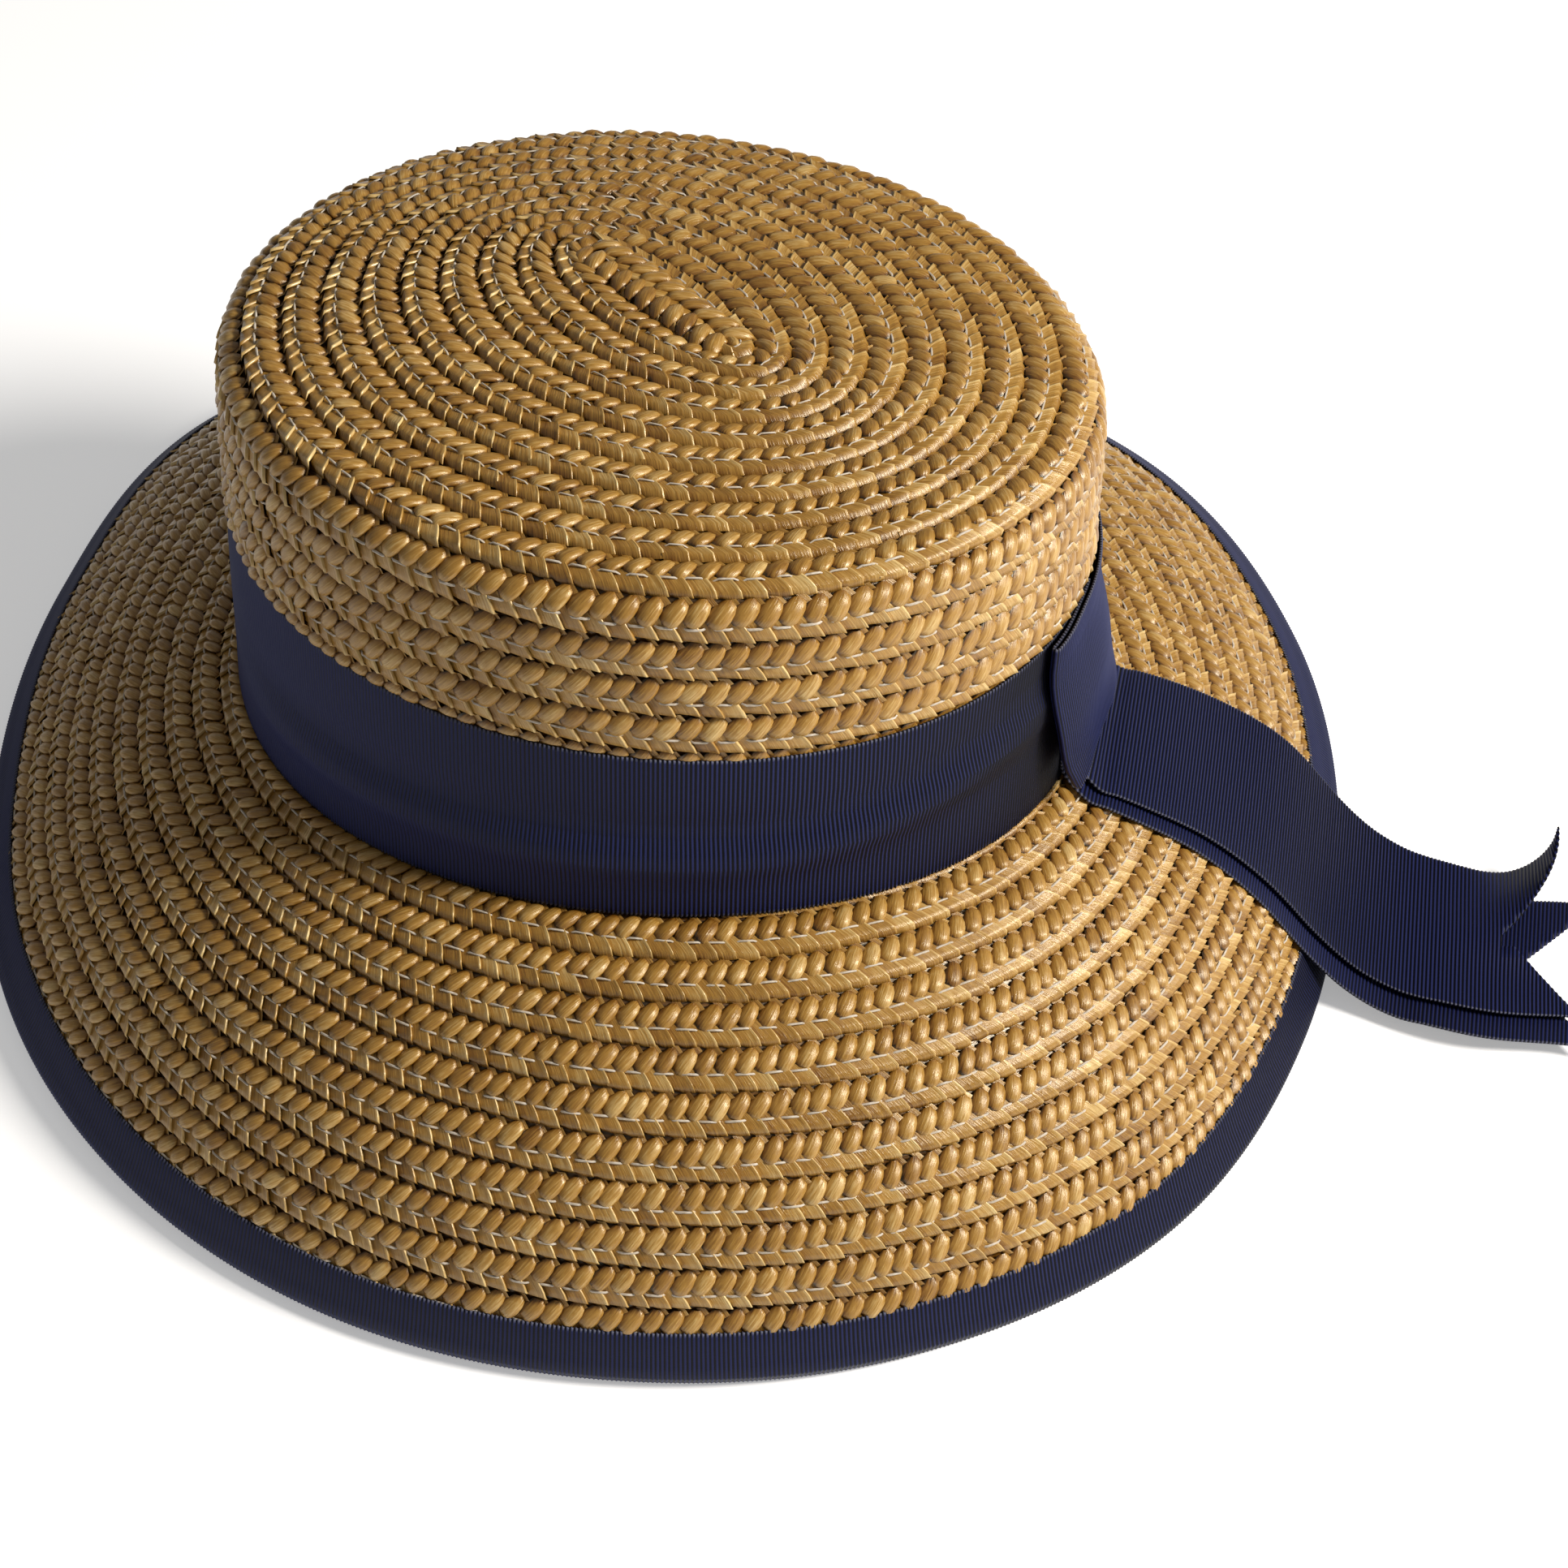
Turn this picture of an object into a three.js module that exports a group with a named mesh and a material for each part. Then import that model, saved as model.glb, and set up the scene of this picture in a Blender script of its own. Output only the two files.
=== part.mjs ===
// A sewn straw hat: a flat oval crown, a brim that droops like a bell, a ribbon
// band with a flat loop and two tails, and a ribbon binding round the brim's edge.
// Millimetres, +Z up. The hat stands on its brim's edge, so the floor is z = 0,
// and +X points the way the tails run.

import * as THREE from 'three';

// Driving sizes of the crown
const crown_mean_half = 94;          // mean half-width of the oval, outside the straw at the tip
const oval_ratio = 1.09;             // length of the oval over its width
const oval_turn_deg = -42;           // where the oval's long axis points
const crown_height = 85;             // from the headline to the tip's flat
const crown_flare = 2;               // how far the foot stands out past the tip's oval
const tip_round = 8.6;               // radius of the edge between the tip and the side
const tip_dome = 6;                  // rise of the tip's middle
const tip_slit = 44;                 // straight first length of plait in the tip's middle
const tip_slit_turn_deg = -49;
const tip_slit_shift = 5;            // the middle lies this far behind the oval's centre
const crown_rows = 14;               // rows of plait from the middle down to the band
const crown_lean_deg = 7;            // the crown leans back by this when the hat is set down
const crown_lift = 56;               // height of the headline's centre above the floor

// Driving sizes of the headline, where crown and brim meet
const headline_wave = 3.4;           // the line dips by this at two sides and rises at the others
const headline_wave_turn_deg = 15;
const headline_tip = 1.3;            // and is this much higher in front

// Driving sizes of the brim
const brim_edge_mean = 173.6;        // mean distance of the edge from the crown's axis
const brim_rows = 10;
const brim_curl_side_deg = 16;       // bend of the brim's profile at the sides and behind
const brim_curl_front_deg = 30;      // and in front, where it hangs most
const brim_edge_rise = 1.7;          // height of the profile's end above the floor
const straw_wall = 2.2;
const lap_step = 0.9;                // each row's edge stands this proud of the next row
const lap_foot = 0.35;               // width of the step at the foot of a lap

// Driving sizes of the ribbons
const band_top = 45.7;               // height of the band's upper edge above the headline's centre
const ribbon_wall = 1.0;
const ribbon_width = 48;
const band_fold = 1.6;               // depth of the soft fold along the band's front
const binding_cover = 11;            // width of binding that shows on the brim
const binding_wall = 0.9;
const slot_depth = 2.9;              // from the binding's fold to the bottom of its slot
const rim_width = 3;                 // width of the flat that the hat stands on
const loop_from_deg = -32;           // the loop's folded end
const loop_to_deg = 13;              // and the end that is sewn down on the band
const loop_slant_deg = 3.7;          // the folded end leans this far to the tails at its foot
const loop_wall = 1.2;
const loop_flare = 3.9;              // the loop's lower edge stands out by this much more
const tail_toward_deg = -9;          // where the tails leave the crown
const tail_reach = 124;              // from the headline to the tips, seen from above
const lower_tail_more = 5;           // the lower tail is this much longer
const lower_tail_aside = 3.4;        // and lies this much further to the front at its root
const lower_tail_yaw_deg = 2;        // and swings this much more to the front
const tip_curl_deg = 95;             // the upper tail's far tip bends up by this
const tip_curl_length = 24;          // over this length
const tail_notch = 20;               // depth of the swallowtail cut
const tail_root = 14;                // length of tail sewn up against the band
const tail_turn = 3.2;               // height above the headline where a tail turns outwards
const loop_foot = 6;                 // height of the loop's lower edge above the headline
const tail_weight = 0.02;            // how fast a hanging stretch bends down, per mm
const clearance = 0.3;
const around = 54;                   // facets round the crown and the brim
const along = 26;                    // facets along a tail

// The brim's edge seen from above: how far it reaches towards each sixteenth of a turn,
// counted from +X towards +Y, as a share of brim_edge_mean
const brim_reach = [
  { toward: 'tails', reach: 0.966 },
  { toward: 'tails, behind', reach: 1.015 },
  { toward: 'right, behind', reach: 1.070 },
  { toward: 'behind, right', reach: 1.068 },
  { toward: 'behind', reach: 1.063 },
  { toward: 'behind, left', reach: 1.080 },
  { toward: 'left, behind', reach: 1.095 },
  { toward: 'left, a little behind', reach: 0.996 },
  { toward: 'left', reach: 0.937 },
  { toward: 'left, a little in front', reach: 0.932 },
  { toward: 'left, in front', reach: 0.930 },
  { toward: 'front, left', reach: 0.933 },
  { toward: 'front', reach: 0.938 },
  { toward: 'front, right', reach: 0.957 },
  { toward: 'right, in front', reach: 0.973 },
  { toward: 'tails, in front', reach: 0.959 },
];

// The tails' way over the brim, all as shares of the ribbon's width, at each share of the
// reach: side is the middle line's sideways place seen from above, lift is how far it
// stands off what is under it, and far is how much more its far selvedge does
const tail_way = [
  { at: 0.00, side: -0.06, lift: 0.00, far: 0.00 },
  { at: 0.13, side: 0.00, lift: 0.01, far: 0.02 },
  { at: 0.25, side: 0.09, lift: 0.00, far: 0.03 },
  { at: 0.37, side: 0.12, lift: 0.00, far: 0.05 },
  { at: 0.47, side: 0.11, lift: 0.00, far: 0.03 },
  { at: 0.58, side: 0.05, lift: 0.03, far: -0.02 },
  { at: 0.72, side: -0.03, lift: 0.09, far: -0.08 },
  { at: 0.84, side: -0.05, lift: 0.10, far: -0.10 },
  { at: 1.00, side: 0.02, lift: 0.08, far: -0.08 },
];

// How far the loop's lower edge stands out along the loop, as a share of loop_flare
const loop_way = [
  { at: 0.00, flare: 0.80 },
  { at: 0.28, flare: 0.30 },
  { at: 0.62, flare: 1.00 },
  { at: 0.85, flare: 0.70 },
  { at: 1.00, flare: 0.00 },
];

const straw = new THREE.MeshStandardMaterial({ color: '#c08f40', roughness: 0.45, metalness: 0 });
const navy = new THREE.MeshStandardMaterial({ color: '#1c2148', roughness: 0.7, metalness: 0 });

const rad = THREE.MathUtils.degToRad;
const turn = 2 * Math.PI;
const lean = rad(crown_lean_deg);
const half_width = (2 * crown_mean_half) / (1 + oval_ratio);
const half_length = half_width * oval_ratio;

function mix(a, b, share) {
  return a + (b - a) * share;
}

function smooth(share) {
  const s = Math.min(Math.max(share, 0), 1);
  return s * s * (3 - 2 * s);
}

// Value of a smooth line through four evenly spaced ones, between the middle two
function through(a, b, c, d, f) {
  return b + 0.5 * f * (c - a + f * (2 * a - 5 * b + 4 * c - d + f * (3 * (b - c) + d - a)));
}

// Value of one column of a table at a share, on a smooth line through its rows
function valueAt(table, column, share) {
  const last = table.length - 1;
  let k = 0;
  while (k < last - 1 && table[k + 1].at < share) k += 1;
  const part = (share - table[k].at) / (table[k + 1].at - table[k].at);
  const at = (step) => table[Math.min(Math.max(k + step, 0), last)][column];
  return through(at(-1), at(0), at(1), at(2), part);
}

// Joins rings of points, each ring closed, in the order outside to inside, into one
// closed body. The last ring is joined to the first one unless the ends are poles.
function bodyOfRings(rings, wraps) {
  const count = rings[0].length;
  const positions = [];
  const index = [];
  rings.flat().forEach((point) => positions.push(point.x, point.y, point.z));
  const bands = wraps ? rings.length : rings.length - 1;
  for (let ring = 0; ring < bands; ring += 1) {
    const next = (ring + 1) % rings.length;
    for (let k = 0; k < count; k += 1) {
      const a = ring * count + k;
      const b = ring * count + ((k + 1) % count);
      const c = next * count + ((k + 1) % count);
      const d = next * count + k;
      index.push(a, d, b, b, d, c);
    }
  }
  const geometry = new THREE.BufferGeometry();
  geometry.setAttribute('position', new THREE.Float32BufferAttribute(positions, 3));
  geometry.setIndex(index);
  return geometry;
}

// A slab between two grids of points, upper[i][j] over lower[i][j], closed at its four sides
function slab(upper, lower) {
  const rings = upper.map((row, i) => [...row, ...[...lower[i]].reverse()]);
  const body = bodyOfRings(rings, false);
  const count = rings[0].length;
  const columns = upper[0].length;
  const index = [...body.index.array];
  [0, rings.length - 1].forEach((row) => {
    for (let j = 0; j < columns - 1; j += 1) {
      const a = row * count + j;
      const b = a + 1;
      const d = row * count + count - 1 - j;
      const c = d - 1;
      const quad = row === 0 ? [a, b, c, a, c, d] : [a, c, b, a, d, c];
      index.push(...quad);
    }
  });
  body.setIndex(index);
  return body;
}

function named(name, geometry, material) {
  const mesh = new THREE.Mesh(geometry, material);
  mesh.name = name;
  geometry.computeVertexNormals();
  return mesh;
}

// Crown frame: z up the crown's axis from the headline's centre. Hat frame: z = 0 is the floor.
function toHat(point) {
  return new THREE.Vector3(
    point.x,
    point.y * Math.cos(lean) + point.z * Math.sin(lean),
    crown_lift - point.y * Math.sin(lean) + point.z * Math.cos(lean),
  );
}

function headlineHeight(angle) {
  const wave = headline_wave * Math.cos(2 * (angle - rad(headline_wave_turn_deg)));
  return -wave - headline_tip * Math.sin(angle);
}

// Distance of the oval from the axis at a polar angle, grown outwards by grow
function ovalRadius(angle, grow) {
  const g = angle - rad(oval_turn_deg);
  return 1 / Math.hypot(Math.cos(g) / (half_length + grow), Math.sin(g) / (half_width + grow));
}

// Crown: the profile runs from the tip's middle, over the edge and down the side

const tip_flat = half_width - tip_round;
const edge_arc = (tip_round * Math.PI) / 2;
const side_top = crown_height - tip_round;
const row_edge = band_top + clearance;
const crown_arc = tip_flat + edge_arc + (side_top - row_edge);
const crown_pitch = crown_arc / crown_rows;

function flareAt(z) {
  return (crown_flare * (side_top - z)) / side_top;
}

// Place at an arc length from the tip's middle, with the outward normal
function crownProfile(arc) {
  if (arc < tip_flat) {
    const slope = (-2 * tip_dome * arc) / (tip_flat * tip_flat);
    const steep = Math.hypot(1, slope);
    const z = crown_height + tip_dome * (1 - (arc / tip_flat) ** 2);
    return { share: arc / half_width, z, out: -slope / steep, up: 1 / steep };
  }
  if (arc < tip_flat + edge_arc) {
    const bend = (arc - tip_flat) / tip_round;
    const reach = tip_flat + tip_round * Math.sin(bend);
    const z = side_top + tip_round * Math.cos(bend);
    return { share: reach / half_width, z, out: Math.sin(bend), up: Math.cos(bend) };
  }
  const z = side_top - (arc - tip_flat - edge_arc);
  return { share: 1 + flareAt(z) / half_width, z, out: 1, up: 0 };
}

function crownPoint(place, lift, k) {
  const t = (turn * k) / around;
  const inside = Math.min(place.share, 1);
  const past = Math.max(place.share - 1, 0) * half_width;
  const long = mix(tip_slit / 2, half_length, inside) + past + lift * place.out;
  const wide = half_width * inside + past + lift * place.out;
  const twist = rad(mix(tip_slit_turn_deg, oval_turn_deg, inside));
  const x = long * Math.cos(t);
  const y = wide * Math.sin(t);
  return new THREE.Vector3(
    x * Math.cos(twist) - y * Math.sin(twist),
    x * Math.sin(twist) + y * Math.cos(twist) + tip_slit_shift * (1 - inside),
    place.z + lift * place.up,
  );
}

function crownRing(place, lift) {
  return Array.from({ length: around }, (unused, k) => crownPoint(place, lift, k));
}

// A ring at the crown's foot, on the headline
function crownFoot(lift) {
  return Array.from({ length: around }, (unused, k) => {
    const point = crownPoint({ share: 1 + flareAt(0) / half_width, z: 0, out: 1, up: 0 }, lift, k);
    point.z = headlineHeight(Math.atan2(point.y, point.x)) + clearance;
    return point;
  });
}

function crownGeometry() {
  const outside = [crownRing(crownProfile(0), 0)];
  for (let row = 1; row <= crown_rows; row += 1) {
    const end = row * crown_pitch;
    const middle = end - crown_pitch / 2;
    const bends = end > tip_flat && end - crown_pitch < tip_flat + edge_arc;
    if (bends) outside.push(crownRing(crownProfile(middle), lap_step / 2));
    outside.push(crownRing(crownProfile(end), lap_step));
    outside.push(crownRing(crownProfile(end + lap_foot), 0));
  }
  outside.push(crownFoot(0));
  const stops = [crown_arc, tip_flat + edge_arc, tip_flat + edge_arc / 2, tip_flat, tip_flat / 2, 0];
  const inside = stops.map((arc) => crownRing(crownProfile(arc), -straw_wall));
  return bodyOfRings([...outside, crownFoot(-straw_wall), ...inside], false);
}

// Brim: sections through the crown's axis, each a smooth bend from the headline to the edge

function headlinePoint(toward) {
  let angle = toward;
  let point = new THREE.Vector3();
  for (let pass = 0; pass < 4; pass += 1) {
    const reach = ovalRadius(angle, crown_flare);
    const x = reach * Math.cos(angle);
    const y = reach * Math.sin(angle);
    point = toHat(new THREE.Vector3(x, y, headlineHeight(angle)));
    const miss = toward - Math.atan2(point.y, point.x);
    angle += Math.atan2(Math.sin(miss), Math.cos(miss));
  }
  return { reach: Math.hypot(point.x, point.y), z: point.z };
}

function edgeReach(toward) {
  const place = ((((toward / turn) % 1) + 1) % 1) * brim_reach.length;
  const first = Math.floor(place);
  const at = (step) => brim_reach[(first + step + brim_reach.length) % brim_reach.length].reach;
  return brim_edge_mean * through(at(-1), at(0), at(1), at(2), place - first);
}

// One section of the brim: place(distance, lift) is a point at an arc length from the headline
function brimSection(toward) {
  const head = headlinePoint(toward);
  const edge = { reach: edgeReach(toward), z: brim_edge_rise };
  const front = Math.max(0, -Math.sin(toward)) ** 2;
  const curl = rad(mix(brim_curl_side_deg, brim_curl_front_deg, front));
  const drop = Math.atan2(head.z - edge.z, edge.reach - head.reach);
  const span = Math.hypot(head.z - edge.z, edge.reach - head.reach);
  const radius = span / (2 * Math.sin(curl));
  const arc = 2 * curl * radius;
  const place = (distance, lift) => {
    const heading = drop - curl + distance / radius;
    const from = drop - curl;
    const reach = head.reach + radius * (Math.sin(heading) - Math.sin(from));
    const z = head.z - radius * (Math.cos(from) - Math.cos(heading));
    return { reach: reach + lift * Math.sin(heading), z: z + lift * Math.cos(heading) };
  };
  return { head, edge, arc, place };
}

const sections = Array.from({ length: around }, (unused, k) => brimSection((turn * k) / around));

function sectionRing(placeIn) {
  return sections.map((section, k) => {
    const place = placeIn(section);
    const toward = (turn * k) / around;
    return new THREE.Vector3(
      place.reach * Math.cos(toward),
      place.reach * Math.sin(toward),
      place.z,
    );
  });
}

function brimGeometry() {
  const straw_end = slot_depth + clearance;
  const rows_end = (section) => section.arc - binding_cover;
  const rings = [sectionRing((s) => ({ reach: s.head.reach - straw_wall, z: s.head.z }))];
  rings.push(sectionRing((s) => s.place(0, 0)));
  for (let row = 1; row <= brim_rows; row += 1) {
    const share = row / brim_rows;
    rings.push(sectionRing((s) => s.place(rows_end(s) * share - clearance, lap_step)));
    rings.push(sectionRing((s) => s.place(rows_end(s) * share + lap_foot - clearance, 0)));
  }
  rings.push(sectionRing((s) => s.place(s.arc - straw_end, 0)));
  rings.push(sectionRing((s) => s.place(s.arc - straw_end, -straw_wall)));
  [1, 0.75, 0.5, 0.25].forEach((share) => {
    rings.push(sectionRing((s) => s.place(rows_end(s) * share, -straw_wall)));
  });
  rings.push(sectionRing((s) => ({ reach: s.head.reach - straw_wall, z: s.head.z - straw_wall })));
  return bodyOfRings(rings, true);
}

// Edge binding: a ribbon folded over the straw's edge, flat where the hat stands on it

function bindingGeometry() {
  const top = clearance;
  const under = -(straw_wall + clearance);
  const from_edge = (distance, lift) => (s) => s.place(s.arc - distance, lift);
  const places = [
    from_edge(binding_cover, top + binding_wall),
    from_edge(binding_cover / 2, top + binding_wall),
    from_edge(binding_wall, top + binding_wall),
    (s) => ({ reach: s.edge.reach, z: s.edge.z }),
    (s) => ({ reach: s.edge.reach - binding_wall / 2, z: 0 }),
    (s) => ({ reach: s.edge.reach - binding_wall / 2 - rim_width, z: 0 }),
    from_edge(binding_cover / 2, under - binding_wall),
    from_edge(binding_cover, under - binding_wall),
    from_edge(binding_cover, under),
    from_edge(slot_depth, under),
    from_edge(slot_depth, top),
    from_edge(binding_cover, top),
  ];
  return bodyOfRings(places.map(sectionRing), true);
}

// Hat band: a ribbon round the crown's foot, with a soft fold along its front

function bandRing(share, lift) {
  return Array.from({ length: around }, (unused, k) => {
    const low = crownPoint({ share: 1 + crown_flare / half_width, z: 0, out: 1, up: 0 }, 0, k);
    const angle = Math.atan2(low.y, low.x);
    const z = mix(headlineHeight(angle) + 2 * clearance, band_top, share);
    const front = smooth((-Math.sin(angle) - 0.55) / 0.35) * Math.sin(Math.PI * share);
    const fold = lift > clearance ? band_fold * front * Math.cos(turn * (share - 0.42)) : 0;
    const place = { share: 1 + flareAt(z) / half_width, z, out: 1, up: 0 };
    return crownPoint(place, lift + Math.max(fold, 0), k);
  });
}

function bandGeometry() {
  const outer = clearance + ribbon_wall;
  const rings = [1, 0.68, 0.42, 0.2, 0].map((share) => bandRing(share, outer));
  rings.push(bandRing(0, clearance), bandRing(1, clearance));
  return bodyOfRings(rings, true);
}

// Ribbons against the crown's side: a point at a polar angle, a height and a distance
// outside the straw, in the crown's frame

function sidePoint(angle, z, lift) {
  const reach = ovalRadius(angle, flareAt(z)) + lift;
  return new THREE.Vector3(reach * Math.cos(angle), reach * Math.sin(angle), z);
}

const layer = ribbon_wall + clearance;
const band_face = clearance + ribbon_wall + 2 * clearance;   // clear of the band's facets
const loop_stand = band_face + 2 * layer + clearance;        // over both tails' roots

function loopGeometry() {
  const steps = 12;
  const levels = 6;
  const grid = (extra) => Array.from({ length: steps + 1 }, (unused, i) => {
    const share = i / steps;
    const down = smooth((share - 0.85) / 0.15);
    const flare = loop_flare * valueAt(loop_way, 'flare', share);
    return Array.from({ length: levels + 1 }, (alsoUnused, j) => {
      const height = j / levels;
      const from = loop_from_deg + loop_slant_deg * (1 - height) ** 4;
      const angle = rad(mix(from, loop_to_deg, share));
      const z = mix(headlineHeight(angle) + loop_foot, band_top + clearance, height);
      const low = smooth((0.85 - height) / 0.5);
      const over_roots = mix(band_face, loop_stand, low) + flare * (1 - height) ** 3;
      return sidePoint(angle, z, mix(over_roots, band_face, down) + extra);
    });
  });
  return slab(grid(loop_wall), grid(0));
}

// Tails: down the band under the loop, round on to the brim and out to the floor

function brimHeight(x, y, lift) {
  const section = brimSection(Math.atan2(y, x));
  const reach = Math.hypot(x, y);
  let low = 0;
  let high = section.arc;
  for (let pass = 0; pass < 24; pass += 1) {
    const middle = (low + high) / 2;
    if (section.place(middle, lift).reach < reach) low = middle;
    else high = middle;
  }
  const end = section.place(section.arc, lift).reach;
  return reach < end ? section.place(low, lift).z : 0;
}

// Value of one column of the tails' table at a share of the reach, in mm
function wayAt(column, share) {
  return ribbon_width * valueAt(tail_way, column, share);
}

// Height of one lengthwise line of a tail: it lies on what is under it, and hangs between
function drape(line, floor) {
  const rest = line.map((p) => {
    const over_brim = floor + lap_step + 2 * clearance + p.lift;
    return Math.max(brimHeight(p.x, p.y, over_brim), floor + p.lift);
  });
  const height = [...rest];
  for (let pass = 0; pass < 400; pass += 1) {
    for (let k = 1; k < height.length - 1; k += 1) {
      const step = line[k + 1].run - line[k].run;
      const hang = (height[k - 1] + height[k + 1]) / 2 - tail_weight * step * step;
      height[k] = Math.max(rest[k], hang);
    }
  }
  return height;
}

const tail_toward = rad(tail_toward_deg);
const tail_columns = [-1, -0.5, 0, 0.5, 1];

// The middle surface of one tail as a grid of points: columns across, rows along
function tailGrid({ stand, floor, reach, aside, yaw, curl }) {
  const heading = tail_toward - yaw;
  const head = headlinePoint(tail_toward).reach + stand;
  const columns = tail_columns.map((column) => {
    const across = (column * ribbon_width) / 2 - aside;
    const length = reach - tail_notch * (1 - Math.abs(column));
    const line = Array.from({ length: along + 1 }, (unused, k) => {
      const run = (length * k) / along;
      const share = Math.min(run / tail_reach, 1);
      const side = across + wayAt('side', share);
      const x = head * Math.cos(tail_toward) + run * Math.cos(heading) - side * Math.sin(heading);
      const y = head * Math.sin(tail_toward) + run * Math.sin(heading) + side * Math.cos(heading);
      const lift = wayAt('lift', share) + wayAt('far', share) * (across / ribbon_width + 0.5);
      return { x, y, run, lift };
    });
    const height = drape(line, floor);
    const bend = (curl * ((1 + column) / 2) ** 3) / tip_curl_length;
    return line.map((p, k) => {
      const curled = bend * Math.max(0, p.run - length + tip_curl_length);
      const back = curled > 0 ? (curled - Math.sin(curled)) / bend : 0;
      const up = curled > 0 ? (1 - Math.cos(curled)) / bend : 0;
      const x = p.x - back * Math.cos(heading);
      return new THREE.Vector3(x, p.y - back * Math.sin(heading), height[k] + up);
    });
  });
  const roots = tail_columns.map((column) => {
    const swing = ((column * ribbon_width) / 2 - aside) / head;
    const angle = tail_toward + swing;
    const foot = headlineHeight(angle) + tail_turn + floor;
    return [1, 0.5, 0].map((share) => toHat(sidePoint(angle, foot + tail_root * share, stand)));
  });
  return columns.map((line, j) => [...roots[j], ...line.slice(1)]);
}

// Gives the grid its thickness, square to the surface
function tailGeometry(grid) {
  const rows = grid[0].length;
  const at = (j, i) => grid[Math.min(Math.max(j, 0), grid.length - 1)][Math.min(Math.max(i, 0), rows - 1)];
  const side = (sign) => Array.from({ length: rows }, (unused, i) => grid.map((line, j) => {
    const downLength = at(j, i + 1).clone().sub(at(j, i - 1));
    const across = at(j + 1, i).clone().sub(at(j - 1, i));
    const normal = downLength.cross(across).normalize();
    return line[i].clone().addScaledVector(normal, (sign * ribbon_wall) / 2);
  }));
  return slab(side(1), side(-1));
}

const lower_stand = band_face + ribbon_wall / 2;
const lower_floor = ribbon_wall / 2;
const lower_grid = tailGrid({
  stand: lower_stand,
  floor: lower_floor,
  reach: tail_reach + lower_tail_more,
  aside: lower_tail_aside,
  yaw: rad(lower_tail_yaw_deg),
  curl: 0,
});
const upper_grid = tailGrid({
  stand: lower_stand + layer,
  floor: lower_floor + layer + clearance,   // clear of it where both slope down
  reach: tail_reach,
  aside: 0,
  yaw: 0,
  curl: rad(tip_curl_deg),
});

const leaning = new THREE.Group();
leaning.position.z = crown_lift;
leaning.rotation.x = -lean;
leaning.add(
  named('crown', crownGeometry(), straw),
  named('hat_band', bandGeometry(), navy),
  named('band_loop', loopGeometry(), navy),
);

const hat = new THREE.Group();
hat.add(
  leaning,
  named('brim', brimGeometry(), straw),
  named('edge_binding', bindingGeometry(), navy),
  named('tail_lower', tailGeometry(lower_grid), navy),
  named('tail_upper', tailGeometry(upper_grid), navy),
);

// The origin is on the floor under the middle of the whole box
const box = new THREE.Box3().setFromObject(hat);
hat.position.x = -(box.min.x + box.max.x) / 2;
hat.position.y = -(box.min.y + box.max.y) / 2;

export default hat;
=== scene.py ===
"""A sewn straw hat with a ribbon band, tails and edge binding, laid out as an add-on.

Lengths in the shape functions are millimetres in the hat's frame: z = 0 is the surface the hat
stands on, x runs towards the tails, -y towards the front. finished() turns them to metres.
"""
import math

import bmesh
import bpy
import numpy as np
from bpy.props import FloatProperty, FloatVectorProperty, IntProperty, PointerProperty, StringProperty
from mathutils import Matrix, Vector


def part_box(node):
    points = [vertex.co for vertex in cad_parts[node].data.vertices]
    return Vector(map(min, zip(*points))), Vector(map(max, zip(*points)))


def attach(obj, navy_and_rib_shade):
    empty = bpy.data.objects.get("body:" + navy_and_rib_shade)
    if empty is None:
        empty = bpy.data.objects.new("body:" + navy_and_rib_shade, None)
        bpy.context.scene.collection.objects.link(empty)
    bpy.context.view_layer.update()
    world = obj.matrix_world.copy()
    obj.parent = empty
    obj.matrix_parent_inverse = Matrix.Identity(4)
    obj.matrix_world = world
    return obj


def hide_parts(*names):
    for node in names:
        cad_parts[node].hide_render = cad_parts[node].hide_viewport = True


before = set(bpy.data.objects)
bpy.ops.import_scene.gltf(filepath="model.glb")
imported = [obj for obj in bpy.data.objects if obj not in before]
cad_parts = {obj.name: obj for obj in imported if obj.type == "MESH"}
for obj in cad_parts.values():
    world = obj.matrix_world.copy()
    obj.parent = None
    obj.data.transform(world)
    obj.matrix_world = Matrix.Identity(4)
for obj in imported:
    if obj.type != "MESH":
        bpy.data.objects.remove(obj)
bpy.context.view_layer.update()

bl_info = {
    "name": "Sewn straw hat",
    "version": (1, 0, 0),
    "blender": (4, 5, 0),
    "location": "View3D > Sidebar > Straw hat",
    "description": "Dresses the frame of a straw hat with plait, stitches and grosgrain ribbons",
    "category": "Object",
}

TURN = 2 * math.pi
ROOT = "root"

# Crown, in millimetres and degrees
CROWN_MEAN_HALF = 94.0
OVAL_RATIO = 1.09
OVAL_TURN = math.radians(-42)
CROWN_HEIGHT = 85.0
CROWN_FLARE = 2.0
TIP_ROUND = 8.6
TIP_DOME = 6.0
TIP_SLIT = 44.0
TIP_SLIT_TURN = math.radians(-49)
TIP_SLIT_SHIFT = 5.0
CROWN_ROWS = 14
CROWN_LEAN = math.radians(7)
CROWN_LIFT = 56.0
HEADLINE_WAVE = 3.4
HEADLINE_WAVE_TURN = math.radians(15)
HEADLINE_TIP = 1.3

# Brim
BRIM_EDGE_MEAN = 173.6
BRIM_ROWS = 10
BRIM_CURL_SIDE = math.radians(16)
BRIM_CURL_FRONT = math.radians(30)
BRIM_EDGE_RISE = 1.7
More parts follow.
